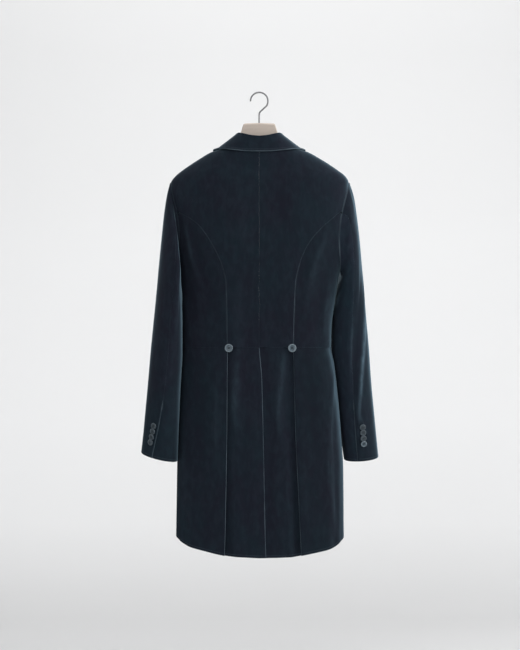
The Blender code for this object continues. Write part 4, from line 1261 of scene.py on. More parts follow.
class Paint(Nodes):
    """One material and its nodes."""

    def __init__(self, name):
        self.material = bpy.data.materials.new(name)
        self.material.use_nodes = True
        super().__init__(self.material.node_tree)
        self.shader = self.tree.nodes["Principled BSDF"]

    def mix(self, share, first, second):
        """Colour between two colours. A Mix node repeats its sockets' names, so these go by number."""
        colours = {"Factor": share, 6: self.colour(first), 7: self.colour(second)}
        return self.node("ShaderNodeMix", {"data_type": "RGBA"}, colours, out=2)

    def colour(self, value):
        """A colour of three numbers made opaque, or a value as it is."""
        return value if isinstance(value, Value) else (*value, 1.0)

    def finish(self, **sockets):
        """The material with these values or links on its shader. A socket's spaces are written as _ here."""
        for name, value in sockets.items():
            self.put(self.shader.inputs[name.replace("_", " ")], value)
        return self.material


print("a paint is a material whose nodes are made one at a time")


# %% Patterns and relief
def object_place(paint, stretch=(1, 1, 1)):
    """Place on the object, squeezed along an axis to draw a pattern out along it."""
    place = paint.node("ShaderNodeTexCoord", {}, {}, out="Object")
    return paint.node("ShaderNodeMapping", {}, {"Vector": place, "Scale": stretch})


def height_of(paint, vector):
    """Upward part of a place or of a direction."""
    return paint.node("ShaderNodeSeparateXYZ", {}, {"Vector": vector}, out="Z")


def kept_number(paint, label):
    """Number that was kept on the points of a mesh."""
    return paint.node("ShaderNodeAttribute", {"attribute_name": label}, {}, out="Fac")


def noise(paint, scale, detail=2.0, stretch=(1, 1, 1), distortion=0.0):
    """Cloudy pattern: so many clouds in a metre, with finer detail in them."""
    values = {"Scale": scale, "Detail": detail, "Distortion": distortion}
    return paint.node("ShaderNodeTexNoise", {}, {"Vector": object_place(paint, stretch), **values})


def ramp(paint, value, *stops):
    """A number turned into another by a table of stops."""
    return paint.node("ShaderNodeValToRGB", {"stops": stops}, {"Fac": value})


def bump(paint, height, strength, depth):
    """Fine relief of a depth in millimetres, too small to be worth a mesh."""
    return paint.node("ShaderNodeBump", {}, {"Strength": strength, "Distance": depth * MM, "Height": height})


def lit(colour, light):
    """A colour made lighter or darker: a panel's own tone, or a copy lit or shaded to paint light or shade.
    """
    return [c * light for c in colour]


print("helpers for places, patterns and relief are ready")

# %% [markdown]
# ## Velvet
#
# Velvet is a dense pile of short threads that stand up from the cloth. Looked at square on, light sinks in
# between them and the cloth is nearly black. At a glancing angle the sides of the threads catch the light.
# So a sheen is painted into the base colour that rises with the facing angle, and the shader's own sheen adds
# the soft rim. The pile also leans: broad patches lean one way or another and look more teal or more grey,
# and fine tufts stand up here and there. More painted sheen goes on faces turned to the right, where the
# light comes from, and less on faces turned up. A crease that stands out gets a painted highlight along its
# crest, and a sunk one painted shade. Along seams and pressed edges a painted highlight draws a pale line.
#
# The panels aren't cut from the cloth in one direction, so each has its own tone. Each also has its own
# painted rim highlight: how narrow and how bright it is, brighter on the right where the light comes from,
# and how far below the rail it starts. The right under sleeve's tone is raised to lift the shade it lies in.

# %% Light in the pile
FACING_COLOUR = (0.0130, 0.0145, 0.0245)
LEANING_COLOUR = (0.0105, 0.0215, 0.0300)
PAINTED_SHEEN_AND_TUFT_COLOUR = (0.088, 0.140, 0.180)
SEAM_HIGHLIGHT_COLOUR = (0.130, 0.175, 0.210)
SHEEN_TINT = (0.50, 0.70, 0.82, 1)
# How much painted light the velvet gets: more on faces turned to the right, where the light comes from, and
# less on faces turned up. The rim and glance weights set a painted rim highlight and a painted glancing
# sheen; the crest weights a painted highlight on raised crests and painted shade in sunk ones.
LIT_FROM_RIGHT = 0.75
UP_FACING_DIMMED = 0.85
RIM_LEAST = 0.10
RIM_ABOVE_TOP = 0.12
RIM_FADE = 0.06
GLANCE_LEAST = 0.04
GLANCE_BRIGHT = 0.11
TUFT_LIGHT = 0.045
FULL_CREST = 10
SUNK_SHADE = 0.10
Pattern = namedtuple("Pattern", "scale detail squeeze warp dark pale")
PATCHES = Pattern(6.5, 2.0, 0.6, 0.6, 0.38, 0.66)
STREAKS = Pattern(30.0, 3.0, 0.14, 0.3, 0.35, 0.75)
FLECKS = Pattern(62.0, 3.0, 0.7, 0.4, 0.38, 0.64)
TUFTS = Pattern(95.0, 4.0, 0.45, 0.5, 0.40, 0.68)


def in_pile(paint, pattern, shift):
    """Pattern in the pile, drawn out down the cloth. The shift makes the left and the right side differ."""
    cloud = noise(paint, pattern.scale + shift, pattern.detail, (1, 1, pattern.squeeze), pattern.warp)
    return ramp(paint, cloud, (pattern.dark, 0.0), (pattern.pale, 1.0))


def turned_to_the_light(paint):
    """How far the cloth faces the right, where the light comes from, less where it faces up; this sets how
    much painted light the colour gets.
    """
    way = paint.node("ShaderNodeNewGeometry", {}, {}, out="Normal")
    to_right = paint.node("ShaderNodeSeparateXYZ", {}, {"Vector": way}, out="X")
    return (0.5 + to_right * LIT_FROM_RIGHT).clipped() * (1 - height_of(paint, way).clipped() * UP_FACING_DIMMED)


def light_in_pile(paint, panel_light, shift, lean, mottle):
    """Painted light and shade for the base colour: a rim highlight and a glancing sheen, a highlight on
    raised crests and shade in sunk ones, and random tufts.
    """
    facing = paint.node("ShaderNodeLayerWeight", {}, {"Blend": 0.5}, out="Facing")
    crest = kept_number(paint, "crest")
    raised = (crest * (1 / FULL_CREST)).clipped()
    sunk = (crest * (-1 / FULL_CREST)).clipped()
    toward_light = turned_to_the_light(paint)
    drop = height_of(paint, object_place(paint)) * -1.0
    below_top = ((drop - panel_light.rim_top) * (1 / RIM_FADE)).clipped()
    # Painted rim highlight: it rises with the facing angle and on faces turned to the right, where the light
    # comes from, and starts below the panel's rim height. A painted glancing sheen follows the facing angle
    # as well.
    rim = facing ** panel_light.rim_narrow * (RIM_LEAST + toward_light * panel_light.rim_bright)
    rim = rim * (RIM_ABOVE_TOP + below_top * (1 - RIM_ABOVE_TOP))
    glance = facing ** 2.0 * (GLANCE_LEAST + toward_light * GLANCE_BRIGHT) * (0.6 + lean * 0.8)
    # Painted highlight along raised crests; painted shade in sunk creases.
    crest_highlight = raised ** 2.0 * (0.5 + lean * 2.2) * (0.4 + mottle * 1.2)
    tufts = in_pile(paint, TUFTS, shift)
    return (rim + glance + crest_highlight + tufts * TUFT_LIGHT - sunk * SUNK_SHADE).clipped()


print("pile patterns of", PATCHES.scale, STREAKS.scale, FLECKS.scale, "and", TUFTS.scale, "clouds in a metre")

# %% Velvet
SEAM_HIGHLIGHT_BAND = ((0.905, 0.0), (0.975, 1.0))
STITCH_FURROW = ((0.735, 0.0), (0.765, 1.0), (0.775, 1.0), (0.80, 0.0))
PUCKER_FADES = ((0.1, 0.0), (0.9, 1.0))
UNEVEN_HIGHLIGHT = ((0.36, 0.35), (0.62, 1.0))
SHEEN = {"Specular IOR Level": 0.1, "Sheen Weight": 0.42, "Sheen Roughness": 0.22, "Sheen Tint": SHEEN_TINT}


def velvet(name, shift, panel_light):
    """Velvet of one panel: the pile, its painted light and shade, the painted highlight along its seams and
    its rows of stitches.
    """
    paint = Paint(name)
    seam = kept_number(paint, "seam")
    mottle = noise(paint, 160.0, 3.0, (1, 1, 0.5))
    patches, streaks, flecks = (in_pile(paint, pattern, shift) for pattern in (PATCHES, STREAKS, FLECKS))
    lean = patches * 0.55 + streaks * 0.2 + flecks * 0.25
    colour = paint.mix(lean, lit(FACING_COLOUR, panel_light.light), lit(LEANING_COLOUR, panel_light.light))
    # Painted sheen, rim and crest highlights and crease shade, with random tufts, lighten the colour towards
    # a pale teal.
    painted_sheen_and_tufts = light_in_pile(paint, panel_light, shift, lean, mottle)
    colour = paint.mix(painted_sheen_and_tufts, colour, lit(PAINTED_SHEEN_AND_TUFT_COLOUR, panel_light.light))
    # A painted highlight along seams and pressed edges, uneven along its length, and a lighter furrow beside
    # rows of stitches.
    uneven_highlight = ramp(paint, noise(paint, 16.0 + shift, 2.0), *UNEVEN_HIGHLIGHT)
    opened = ramp(paint, seam, *SEAM_HIGHLIGHT_BAND) * kept_number(paint, "gleam") * uneven_highlight
    furrow = ramp(paint, seam, *STITCH_FURROW) * kept_number(paint, "stitched")
    seam_highlight_and_furrow = (opened * (0.5 + mottle * 0.5) + furrow * 0.12).clipped()
    colour = paint.mix(seam_highlight_and_furrow, colour, SEAM_HIGHLIGHT_COLOUR)
    pucker = noise(paint, 120.0, 2.0) * ramp(paint, seam, *PUCKER_FADES) * 0.5
    pile = noise(paint, 900.0, 4.0, (1, 1, 0.4)) * 0.35 + mottle * 0.4 + pucker - furrow * 0.8
    for socket, value in SHEEN.items():
        paint.shader.inputs[socket].default_value = value
    return paint.finish(Base_Color=colour, Roughness=0.86 + mottle * 0.1, Normal=bump(paint, pile, 0.35, 0.6))


print("velvet with a sheen of", SHEEN["Sheen Weight"])

# %% Tone and painted rim light of each panel
PanelLight = namedtuple("PanelLight", "light rim_narrow rim_bright rim_top", defaults=(0.0,))
# Each panel's tone, how narrow and how bright its painted rim highlight is, and how far below the rail that
# painted rim starts. Panels on the right, where the light comes from, get brighter painted rims.
PANEL_LIGHTS = {
    "back": PanelLight(0.93, 4.0, 3.0),
    "side_body": PanelLight(0.90, 5.0, 3.2),
    "side_body_right": PanelLight(0.88, 5.0, 6.0),
    "front": PanelLight(0.94, 5.0, 3.0),
    "lapel": PanelLight(0.94, 4.0, 3.0),
    "collar": PanelLight(0.94, 4.0, 2.0),
    "side_skirt": PanelLight(0.90, 4.0, 8.0),
    "side_skirt_right": PanelLight(0.82, 4.0, 14.0),
    "back_skirt": PanelLight(0.94, 4.0, 4.0),
    "back_skirt_right": PanelLight(0.92, 4.0, 4.0),
    "sleeve_upper": PanelLight(0.94, 7.0, 6.0),
    "sleeve_under": PanelLight(0.94, 7.0, 7.0),
    "sleeve_under_left": PanelLight(0.94, 7.0, 7.0, 0.335),
    "sleeve_upper_left": PanelLight(0.94, 7.0, 7.0, 0.335),
    # The right under sleeve lies in shade beside the body, so its colour is lifted: painted light.
    "sleeve_under_right": PanelLight(1.25, 7.0, 7.0),
}
RIGHT_SHIFT = 0.3
for name, piece in cloth_pieces.items():
    panel = max((key for key in PANEL_LIGHTS if name.startswith(key)), key=len)
    piece.data.materials.append(velvet(name, RIGHT_SHIFT * name.count("right"), PANEL_LIGHTS[panel]))
print("velvet on", len(cloth_pieces), "pieces")

# %% [markdown]
# ## Horn, wood, steel and thread
#
# The buttons are dyed horn: nearly even, with slow cloudy bands, a painted highlight round the lip of the
# rim, and a soft gloss. Most cuff buttons get a darker copy of the horn, painted shade. The hanger is pale
# oiled beech, whose grain runs along its length, with fine short pores. The hook is drawn steel wire with
# faint scratches along it.
# The thread is dull silk, a shade lighter than the velvet. Each finish is a few noises at the scale of the
# real marks, and only the horn needs a number from its mesh, for the place of the lip.

# %% Horn
DARK_HORN = (0.030, 0.052, 0.072)
PALE_HORN = (0.092, 0.138, 0.172)
LIP_HIGHLIGHT_COLOUR = (0.19, 0.24, 0.275)
CLOUDY = ((0.35, 0.0), (0.65, 1.0))
LIP = ((0.62, 0.0), (0.80, 1.0), (0.93, 1.0), (1.0, 0.3))


def horn(name, lip_highlight, light):
    """Dyed horn in slow clouds, with a highlight painted along the lip of the rim. A light below 1 makes a
    darker copy that paints shade.
    """
    paint = Paint(name)
    cloud = ramp(paint, noise(paint, 110.0, 2.0, (1, 1, 0.6), 1.2), *CLOUDY)
    speck = noise(paint, 900.0, 2.0)
    lip = ramp(paint, kept_number(paint, "out"), *LIP)
    colour = paint.mix(cloud, lit(DARK_HORN, light), lit(PALE_HORN, light))
    # A highlight is painted round the lip of the rim, with pale specks.
    colour = paint.mix(lip * lip_highlight + speck * 0.15, colour, LIP_HIGHLIGHT_COLOUR)
    relief = bump(paint, cloud * 0.2 + speck * 0.3, 0.2, 0.1)
    paint.shader.inputs["Specular IOR Level"].default_value = 0.5
    return paint.finish(Base_Color=colour, Roughness=0.26 + speck * 0.14 + cloud * 0.08, Normal=relief)


HORN = horn("dyed_horn", 0.75, 1.0)
# The cuff buttons' horn is a darker copy of the same horn, painted shade.
SHADED_CUFF_HORN = horn("dark_horn", 0.16, 0.45)
print("horn:", HORN.name, "and", SHADED_CUFF_HORN.name)

# %% Wood, steel and thread
DARK_BEECH = (0.640, 0.545, 0.470)
PALE_BEECH = (0.760, 0.655, 0.570)
PORE_COLOUR = (0.40, 0.31, 0.245)
PORES = ((0.60, 0.0), (0.72, 1.0))
DARK_STEEL = (0.15, 0.15, 0.155)
PALE_STEEL = (0.27, 0.27, 0.28)
DARK_SILK = (0.018, 0.028, 0.036)
PALE_SILK = (0.048, 0.070, 0.085)


def wood():
    """Beech with its grain along the hanger, which lies along X."""
    paint = Paint("oiled_beech")
    grain = noise(paint, 60.0, 5.0, (0.10, 1, 1), 0.8)
    bands = ramp(paint, noise(paint, 26.0, 3.0, (0.06, 1, 1), 1.5), *CLOUDY)
    pores = ramp(paint, noise(paint, 420.0, 2.0, (0.06, 1, 1)), *PORES)
    colour = paint.mix(bands * 0.7 + grain * 0.3, DARK_BEECH, PALE_BEECH)
    colour = paint.mix(pores * 0.35, colour, PORE_COLOUR)
    relief = bump(paint, grain * 0.5 + (1 - pores) * 0.5, 0.25, 0.2)
    return paint.finish(Base_Color=colour, Roughness=0.5 + grain * 0.16, Normal=relief)


def steel():
    """Steel wire with scratches drawn out along it."""
    paint = Paint("drawn_steel")
    scratches = noise(paint, 700.0, 3.0, (1, 1, 0.15))
    clouds = noise(paint, 30.0, 2.0)
    colour = paint.mix(scratches * 0.5 + clouds * 0.5, DARK_STEEL, PALE_STEEL)
    relief = bump(paint, scratches, 0.15, 0.05)
    return paint.finish(Base_Color=colour, Metallic=1.0, Roughness=0.22 + scratches * 0.2, Normal=relief)


def thread():
    """Silk with its twist as fine light and dark turns."""
    paint = Paint("silk_thread")
    twist = noise(paint, 1600.0, 2.0, (1, 1, 0.4))
    shade = noise(paint, 14.0, 1.0)
    colour = paint.mix(twist * 0.6 + shade * 0.4, DARK_SILK, PALE_SILK)
    return paint.finish(Base_Color=colour, Roughness=0.6 + twist * 0.2, Normal=bump(paint, twist, 0.4, 0.1))


WOOD, STEEL, THREAD = wood(), steel(), thread()
print("finishes:", ", ".join(material.name for material in (WOOD, STEEL, THREAD)))

# %% [markdown]
# ## Buttons
#
# A tailor's button is turned from a slice of horn: a rounded rim, a shallow dish and four drilled holes.
# Thread crosses between the holes and holds it on. The plain model has each button's place and tilt, so each
# new one is turned about the same axis: the flat side of a disc has the least spread, and its wide end is
# the back.

# %% Turned buttons
ButtonSize = namedtuple("ButtonSize", "radius thick dish")
LARGE_BUTTON = ButtonSize(10.0, 3.6, 0.9)
SMALL_BUTTON = ButtonSize(7.5, 2.6, 0.7)
RIM_OUTLINE = [
    (0.0, 0.0), (0.90, 0.0), (0.94, 0.04), (0.985, 0.2), (1.0, 0.42),
    (0.985, 0.64), (0.95, 0.83), (0.90, 0.95), (0.84, 1.0), (0.78, 0.985),
]
DISH_OUTLINE = [(0.70, 0.45), (0.62, 0.12), (0.54, 0.0), (0.0, 0.0)]
BUTTON_SIDES = 56
HOLES = 4
HOLE_PLACE = 0.25
HOLE_RADIUS = 0.12
DRILL_SIDES = 16
DRILL_LENGTH = 20 * MM
SHARPEST_HORN = radians(50)
BUTTON_NODES = ["waist_button_left", "waist_button_right", "front_button"]
BUTTON_NODES += [f"cuff_button_{label}_{k}" for label in SIDES for k in range(1, 5)]


def button_profile(size):
    """Radius and height of the turned outline, from the middle of the back to the middle of the dish."""
    floor = size.thick - size.dish
    rim = [(size.radius * out, size.thick * up) for out, up in RIM_OUTLINE]
    return rim + [(size.radius * out, floor + size.dish * up) for out, up in DISH_OUTLINE]


def turned(profile, sides):
    """Mesh of a profile turned round its axis. Its two ends lie on the axis."""
    shape = bmesh.new()
    middle = [shape.verts.new((0, 0, profile[k][1] * MM)) for k in (0, -1)]
    spots = [(cos(2 * pi * k / sides), sin(2 * pi * k / sides)) for k in range(sides)]
    rings = []
    for radius, height in profile[1:-1]:
        rings.append([shape.verts.new((x * radius * MM, y * radius * MM, height * MM)) for x, y in spots])
    for k in range(sides):
        after = (k + 1) % sides
        shape.faces.new((middle[0], rings[0][after], rings[0][k]))
        shape.faces.new((middle[1], rings[-1][k], rings[-1][after]))
        for low, high in zip(rings, rings[1:]):
            shape.faces.new((low[k], low[after], high[after], high[k]))
    return shape


print("a large button is turned from an outline of", len(button_profile(LARGE_BUTTON)), "points")


# %% Drilled buttons
def mesh_of(name, shape):
    """Mesh from a shape that was being built. The shape is then done with."""
    mesh = bpy.data.meshes.new(name)
    shape.to_mesh(mesh)
    shape.free()
    return mesh


def worked_in(piece):
    """The piece's mesh with its modifiers worked in."""
    return bpy.data.meshes.new_from_object(piece.evaluated_get(bpy.context.evaluated_depsgraph_get()))


def drills(size):
    """Four round rods where the holes go."""
    rods = bmesh.new()
    radius = size.radius * HOLE_RADIUS * MM
    for k in range(HOLES):
        a = pi / 4 + pi / 2 * k
        place = Matrix.Translation(Vector((cos(a), sin(a), 0)) * size.radius * HOLE_PLACE * MM)
        rod = {"segments": DRILL_SIDES, "radius1": radius, "radius2": radius, "depth": DRILL_LENGTH}
        bmesh.ops.create_cone(rods, cap_ends=True, matrix=place, **rod)
    return rods


def drilled_button(size, label):
    """Plain mesh of one button at the origin, with its four holes cut through."""
    blank = in_scene(label, mesh_of(label, turned(button_profile(size), BUTTON_SIDES)))
    drill = in_scene("drills", mesh_of("drills", drills(size)))
    cut = blank.modifiers.new("holes", "BOOLEAN")
    cut.operation = "DIFFERENCE"
    cut.object = drill
    result = worked_in(blank)
    for spare in (blank, drill):
        bpy.data.objects.remove(spare)
    out = [vertex.co.xy.length / (size.radius * MM) for vertex in result.vertices]
    result.attributes.new("out", "FLOAT", "POINT").data.foreach_set("value", out)
    return result


blanks = {"large": drilled_button(LARGE_BUTTON, "large"), "small": drilled_button(SMALL_BUTTON, "small")}
print("a large button has", len(blanks["large"].polygons), "faces")

# %% Buttons in their places
FACE_DEPTH = 0.2 * MM


def button_place(node):
    """Matrix that carries a button from the origin to its place on the plain model."""
    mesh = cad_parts[node].data
    points = np.array([vertex.co for vertex in mesh.vertices])
    middle = points.mean(axis=0)
    axis = Vector(np.linalg.svd(points - middle)[2][2])
    height = (points - middle) @ np.array(axis)
    radius = np.linalg.norm(points - middle - np.outer(height, axis), axis=1)
    low, high = height < height.min() + FACE_DEPTH, height > height.max() - FACE_DEPTH
    if radius[low].max() < radius[high].max():
        axis, low = -axis, high
    across = Vector((0, 0, 1)).cross(axis).normalized()
    upward = axis.cross(across)
    turn = Matrix((across, upward, axis)).transposed().to_4x4()
    foot = Vector(points[low].mean(axis=0))
    return Matrix.Translation(foot) @ turn


def add_piece(name, mesh, material):
    """Piece in one material. Its mesh takes its name."""
    mesh.name = name
    mesh.materials.clear()
    mesh.materials.append(material)
    return in_scene(name, mesh)


button_places = {node: button_place(node) for node in BUTTON_NODES}
button_pieces = {}
for node, place in button_places.items():
    mesh = blanks["small" if node.startswith("cuff") else "large"].copy()
    mesh.transform(place)
    mesh.shade_smooth()
    mesh.set_sharp_from_angle(angle=SHARPEST_HORN)
    # All cuff buttons but the lowest on the right take the darker copy: painted shade.
    dark = node.startswith("cuff") and node != "cuff_button_right_4"
    button_pieces[node] = add_piece(f"{node}_horn", mesh, SHADED_CUFF_HORN if dark else HORN)
print(len(button_pieces), "buttons in their places")

# %% Thread through the buttons
THREAD_RADIUS = 0.28
LANE_WIDTH = 0.42
UPPER_BAR_RISE = 0.30
MIDDLE_LANE_RISE = 0.10
ThreadStep = namedtuple("ThreadStep", "along height free")
THREAD_ARCH = [
    ThreadStep(-1, -1.0, 0),
    ThreadStep(-0.98, 0.05, 0),
    ThreadStep(-0.6, 0.40, 1),
    ThreadStep(0, 0.55, 1),
    ThreadStep(0.6, 0.40, 1),
    ThreadStep(0.98, 0.05, 0),
    ThreadStep(1, -1.0, 0),
]


def strand(shape, route, radius, sides=6):
    """Round thread along a route of points, added to a mesh that is being built."""
    angles = [2 * pi * j / sides for j in range(sides)]
    rings = []
    for k, spot in enumerate(route):
        ahead = route[min(k + 1, len(route) - 1)] - route[max(k - 1, 0)]
        across = ahead.cross(Vector((0, 0, 1)))
        across = (across if across.length > 1e-9 else Vector((1, 0, 0))).normalized()
        over = ahead.cross(across).normalized()
        rings.append([shape.verts.new(spot + (across * cos(a) + over * sin(a)) * radius) for a in angles])
    for low, high in zip(rings, rings[1:]):
        for k in range(sides):
            shape.faces.new((low[k], low[(k + 1) % sides], high[(k + 1) % sides], high[k]))
    shape.faces.new(rings[0][::-1])
    shape.faces.new(rings[-1])


def crossed_thread(size):
    """Two crossing bars of thread over the dish, each three strands wide."""
    shape = bmesh.new()
    floor = size.thick - size.dish
    reach = size.radius * HOLE_PLACE
    for bar in range(2):
        a = pi / 4 + pi / 2 * bar
        ahead, aside = Vector((cos(a), sin(a), 0)), Vector((-sin(a), cos(a), 0))
        for lane in (-1, 0, 1):
            rise = UPPER_BAR_RISE * bar + MIDDLE_LANE_RISE * (1 - abs(lane))
            route = []
            for step in THREAD_ARCH:
                up = Vector((0, 0, floor + (step.height + rise * step.free)))
                route.append((ahead * (step.along * reach) + aside * (lane * LANE_WIDTH) + up) * MM)
            strand(shape, route, THREAD_RADIUS * MM)
    return shape


print("each button gets two bars of three strands")

# %% Thread on every button
all_threads = bmesh.new()
for node, place in button_places.items():
    shape = crossed_thread(SMALL_BUTTON if node.startswith("cuff") else LARGE_BUTTON)
    bmesh.ops.transform(shape, matrix=place, verts=shape.verts)
    spare = mesh_of("spare", shape)
    all_threads.from_mesh(spare)
    bpy.data.meshes.remove(spare)
bmesh.ops.recalc_face_normals(all_threads, faces=all_threads.faces)
thread_mesh = mesh_of("button_thread", all_threads)
thread_mesh.shade_smooth()
button_thread = add_piece("button_thread", thread_mesh, THREAD)
print("button thread:", len(thread_mesh.polygons), "faces")

# %% [markdown]
# ## Hanger and hook
#
# The hanger is a broad beech board cut to the slope of the shoulders. Its form is right in the plain model,
# so a copy of it only gets its edges rounded over, as sandpaper leaves them. The hook is one length of
# wire: an open ring, a straight run back to the middle, and a stem that screws into the wood. Its end is
# ground round so that it doesn't catch.

# %% Hanger
MERGE_WITHIN = 0.001 * MM
FLAT_WITHIN = radians(1)
SANDED_WIDTH = 0.9 * MM
SANDED_STEPS = 3
SANDED_EDGES = radians(24)
SHARPEST_WOOD = radians(40)


def merged_copy(node):
    """Copy of a plain node with its loose triangles joined up."""
    shape = bmesh.new()
    shape.from_mesh(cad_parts[node].data)
    bmesh.ops.remove_doubles(shape, verts=shape.verts, dist=MERGE_WITHIN)
    bmesh.ops.dissolve_limit(shape, angle_limit=FLAT_WITHIN, verts=shape.verts, edges=shape.edges)
    return mesh_of(node, shape)


hanger = add_piece("hanger_beech", merged_copy("hanger_body"), WOOD)
soften = hanger.modifiers.new("sanded edges", "BEVEL")
soften.width = SANDED_WIDTH
soften.segments = SANDED_STEPS
soften.limit_method = "ANGLE"
soften.angle_limit = SANDED_EDGES
sanded = worked_in(hanger)
hanger.modifiers.clear()
hanger.data = sanded
hanger.data.shade_smooth()
hanger.data.set_sharp_from_angle(angle=SHARPEST_WOOD)
print("hanger:", len(hanger.data.polygons), "faces")

# %% Hook
WIRE_RADIUS = 1.9
HOOK_RADIUS = 21
HOOK_TIP = 182
HOOK_END = -34
HOOK_STEP = 4
TIP_THICKNESS = [0.35, 0.8]
TIP_SPACING = 0.2
ELBOW = (0.0, -47.0)
STRAIGHT_SHARES = (0.25, 0.5, 0.75, 0.88)
ELBOW_BEND = [(0.9, -47.4), (0.35, -48.8), (0.08, -50.8), (0.0, -53.0)]
STEM = [(0.0, -62.0), (0.0, -92.0)]
WIRE_FACETS = 5


def hook_route():
    """Points of the wire in the plane of the hook, with the wire's thickness at each as a share."""
    centre = WIRE_RADIUS - HOOK_RADIUS
    ring = []
    for turn in range(HOOK_TIP, HOOK_END - 1, -HOOK_STEP):
        a = radians(turn)
        ring.append((cos(a) * HOOK_RADIUS, centre + sin(a) * HOOK_RADIUS))
    ring[1] = tuple(np.add(np.multiply(ring[0], 1 - TIP_SPACING), np.multiply(ring[1], TIP_SPACING)))
    last = np.array(ring[-1])
    run = [tuple(last + (np.array(ELBOW) - last) * share) for share in STRAIGHT_SHARES]
    route = ring + run + ELBOW_BEND + STEM
    return route, TIP_THICKNESS + [1.0] * (len(route) - len(TIP_THICKNESS))


route, thick = hook_route()
curve = bpy.data.curves.new("hook", "CURVE")
curve.dimensions = "3D"
curve.bevel_depth = WIRE_RADIUS * MM
curve.bevel_resolution = WIRE_FACETS
curve.use_fill_caps = True
spline = curve.splines.new("POLY")
spline.points.add(len(route) - 1)
for spot, (x, z), share in zip(spline.points, route, thick):
    spot.co = (x * MM, 0, z * MM, 1)
    spot.radius = share
bent = in_scene("bent_wire", curve)
wire = worked_in(bent)
bpy.data.objects.remove(bent)
wire.shade_smooth()
hook = add_piece("hook_steel_wire", wire, STEEL)
print("hook:", len(wire.polygons), "faces")

# %% [markdown]
# ## Stitches
#
# The collar's edge is pick-stitched by hand about five millimetres in, and the hems and cuffs are caught up
# with a fine row above the fold. A node tree does what the hand does: it walks along a line, puts a stitch
# down every few millimetres, turns it along the line and flat on the cloth, and never makes two quite alike.
# So the rows can be moved or their pitch changed without placing a stitch by hand.

# %% Lines for the rows of stitches
StitchRow = namedtuple("StitchRow", "piece distance")
STITCH_ROWS = [StitchRow("collar_velvet", 4.5)]
for label in SIDES:
    for part in ("side_skirt", "back_skirt", "sleeve_upper", "sleeve_under"):
        STITCH_ROWS.append(StitchRow(f"{part}_{label}_velvet", 6.0))
CLEAR_OF_ENDS = 0.7
ABOVE_CLOTH = 0.05


def inset_line(row):
    """Points and normals a distance above the lower edge of a piece, clear of both its ends."""
    points, normals = (grid[::-1] for grid in grids[row.piece])
    inwards = lengths(points, 0)
    distance = row.distance * MM
    line, facing = [], []
    for k in range(points.shape[1]):
        line.append([np.interp(distance, inwards[:, k], points[:, k, axis]) for axis in range(3)])
        facing.append([np.interp(distance, inwards[:, k], normals[:, k, axis]) for axis in range(3)])
    line, facing = np.array(line), unit(np.array(facing))
    along = np.concatenate(([0], np.cumsum(np.linalg.norm(np.diff(line, axis=0), axis=1))))
    inside = (along > distance * CLEAR_OF_ENDS) & (along < along[-1] - distance * CLEAR_OF_ENDS)
    return line[inside] + facing[inside] * ABOVE_CLOTH * MM, facing[inside]


def line_mesh(rows):
    """One mesh of edges for all the rows, with the way off the cloth kept on its points."""
    spots, ups, edges = [], [], []
    for row in rows:
        line, facing = inset_line(row)
        start = len(spots)
        spots += line.tolist()
        ups += facing.tolist()
        edges += [(start + k, start + k + 1) for k in range(len(line) - 1)]
    mesh = bpy.data.meshes.new("stitch_lines")
    mesh.from_pydata(spots, edges, [])
    mesh.attributes.new("up", "FLOAT_VECTOR", "POINT").data.foreach_set("vector", np.array(ups).ravel())
    return mesh


print(len(STITCH_ROWS), "rows of stitches")

# %% A tree that sews
STITCH_SIZES = {"Pitch": 3.2 * MM, "Stitch length": 2.3 * MM, "Thread radius": 0.24 * MM, "Unevenness": 0.12}
STITCH_BALL = {"Segments": 6, "Rings": 5, "Radius": 1.0}
SEWING_SEED = 7


def sewing_inputs(face):
    """Names and sizes that the tree can be given."""
    face.new_socket("Lines", in_out="INPUT", socket_type="NodeSocketGeometry")
    for name, value in STITCH_SIZES.items():
        face.new_socket(name, in_out="INPUT", socket_type="NodeSocketFloat").default_value = value
    face.new_socket("Seed", in_out="INPUT", socket_type="NodeSocketInt").default_value = SEWING_SEED
    face.new_socket("Material", in_out="INPUT", socket_type="NodeSocketMaterial")
    face.new_socket("Stitches", in_out="OUTPUT", socket_type="NodeSocketGeometry")


def stitch_turn(sew, given):
    """Way that a stitch lies: along the line and flat on the cloth, swung a little to either side."""
    ahead = sew.node("GeometryNodeInputTangent", {}, {})
    up = sew.node("GeometryNodeInputNamedAttribute", {"data_type": "FLOAT_VECTOR"}, {"Name": "up"})
    along = sew.node("FunctionNodeAlignRotationToVector", {"axis": "X"}, {"Vector": ahead})
    flat_on_cloth = {"axis": "Z", "pivot_axis": "X"}
    flat = sew.node("FunctionNodeAlignRotationToVector", flat_on_cloth, {"Rotation": along, "Vector": up})
    uneven = given["Unevenness"]
    limits = {2: uneven * -1.0, 3: uneven, "Seed": given["Seed"]}
    swing = sew.node("FunctionNodeRandomValue", {"data_type": "FLOAT"}, limits, out=1)
    swing_turn = sew.node("ShaderNodeCombineXYZ", {}, {"Z": swing})
    swing_rotation = sew.node("FunctionNodeEulerToRotation", {}, {"Euler": swing_turn})
    turns = {"Rotation": flat, "Rotate By": swing_rotation}
    return sew.node("FunctionNodeRotateRotation", {"rotation_space": "LOCAL"}, turns)


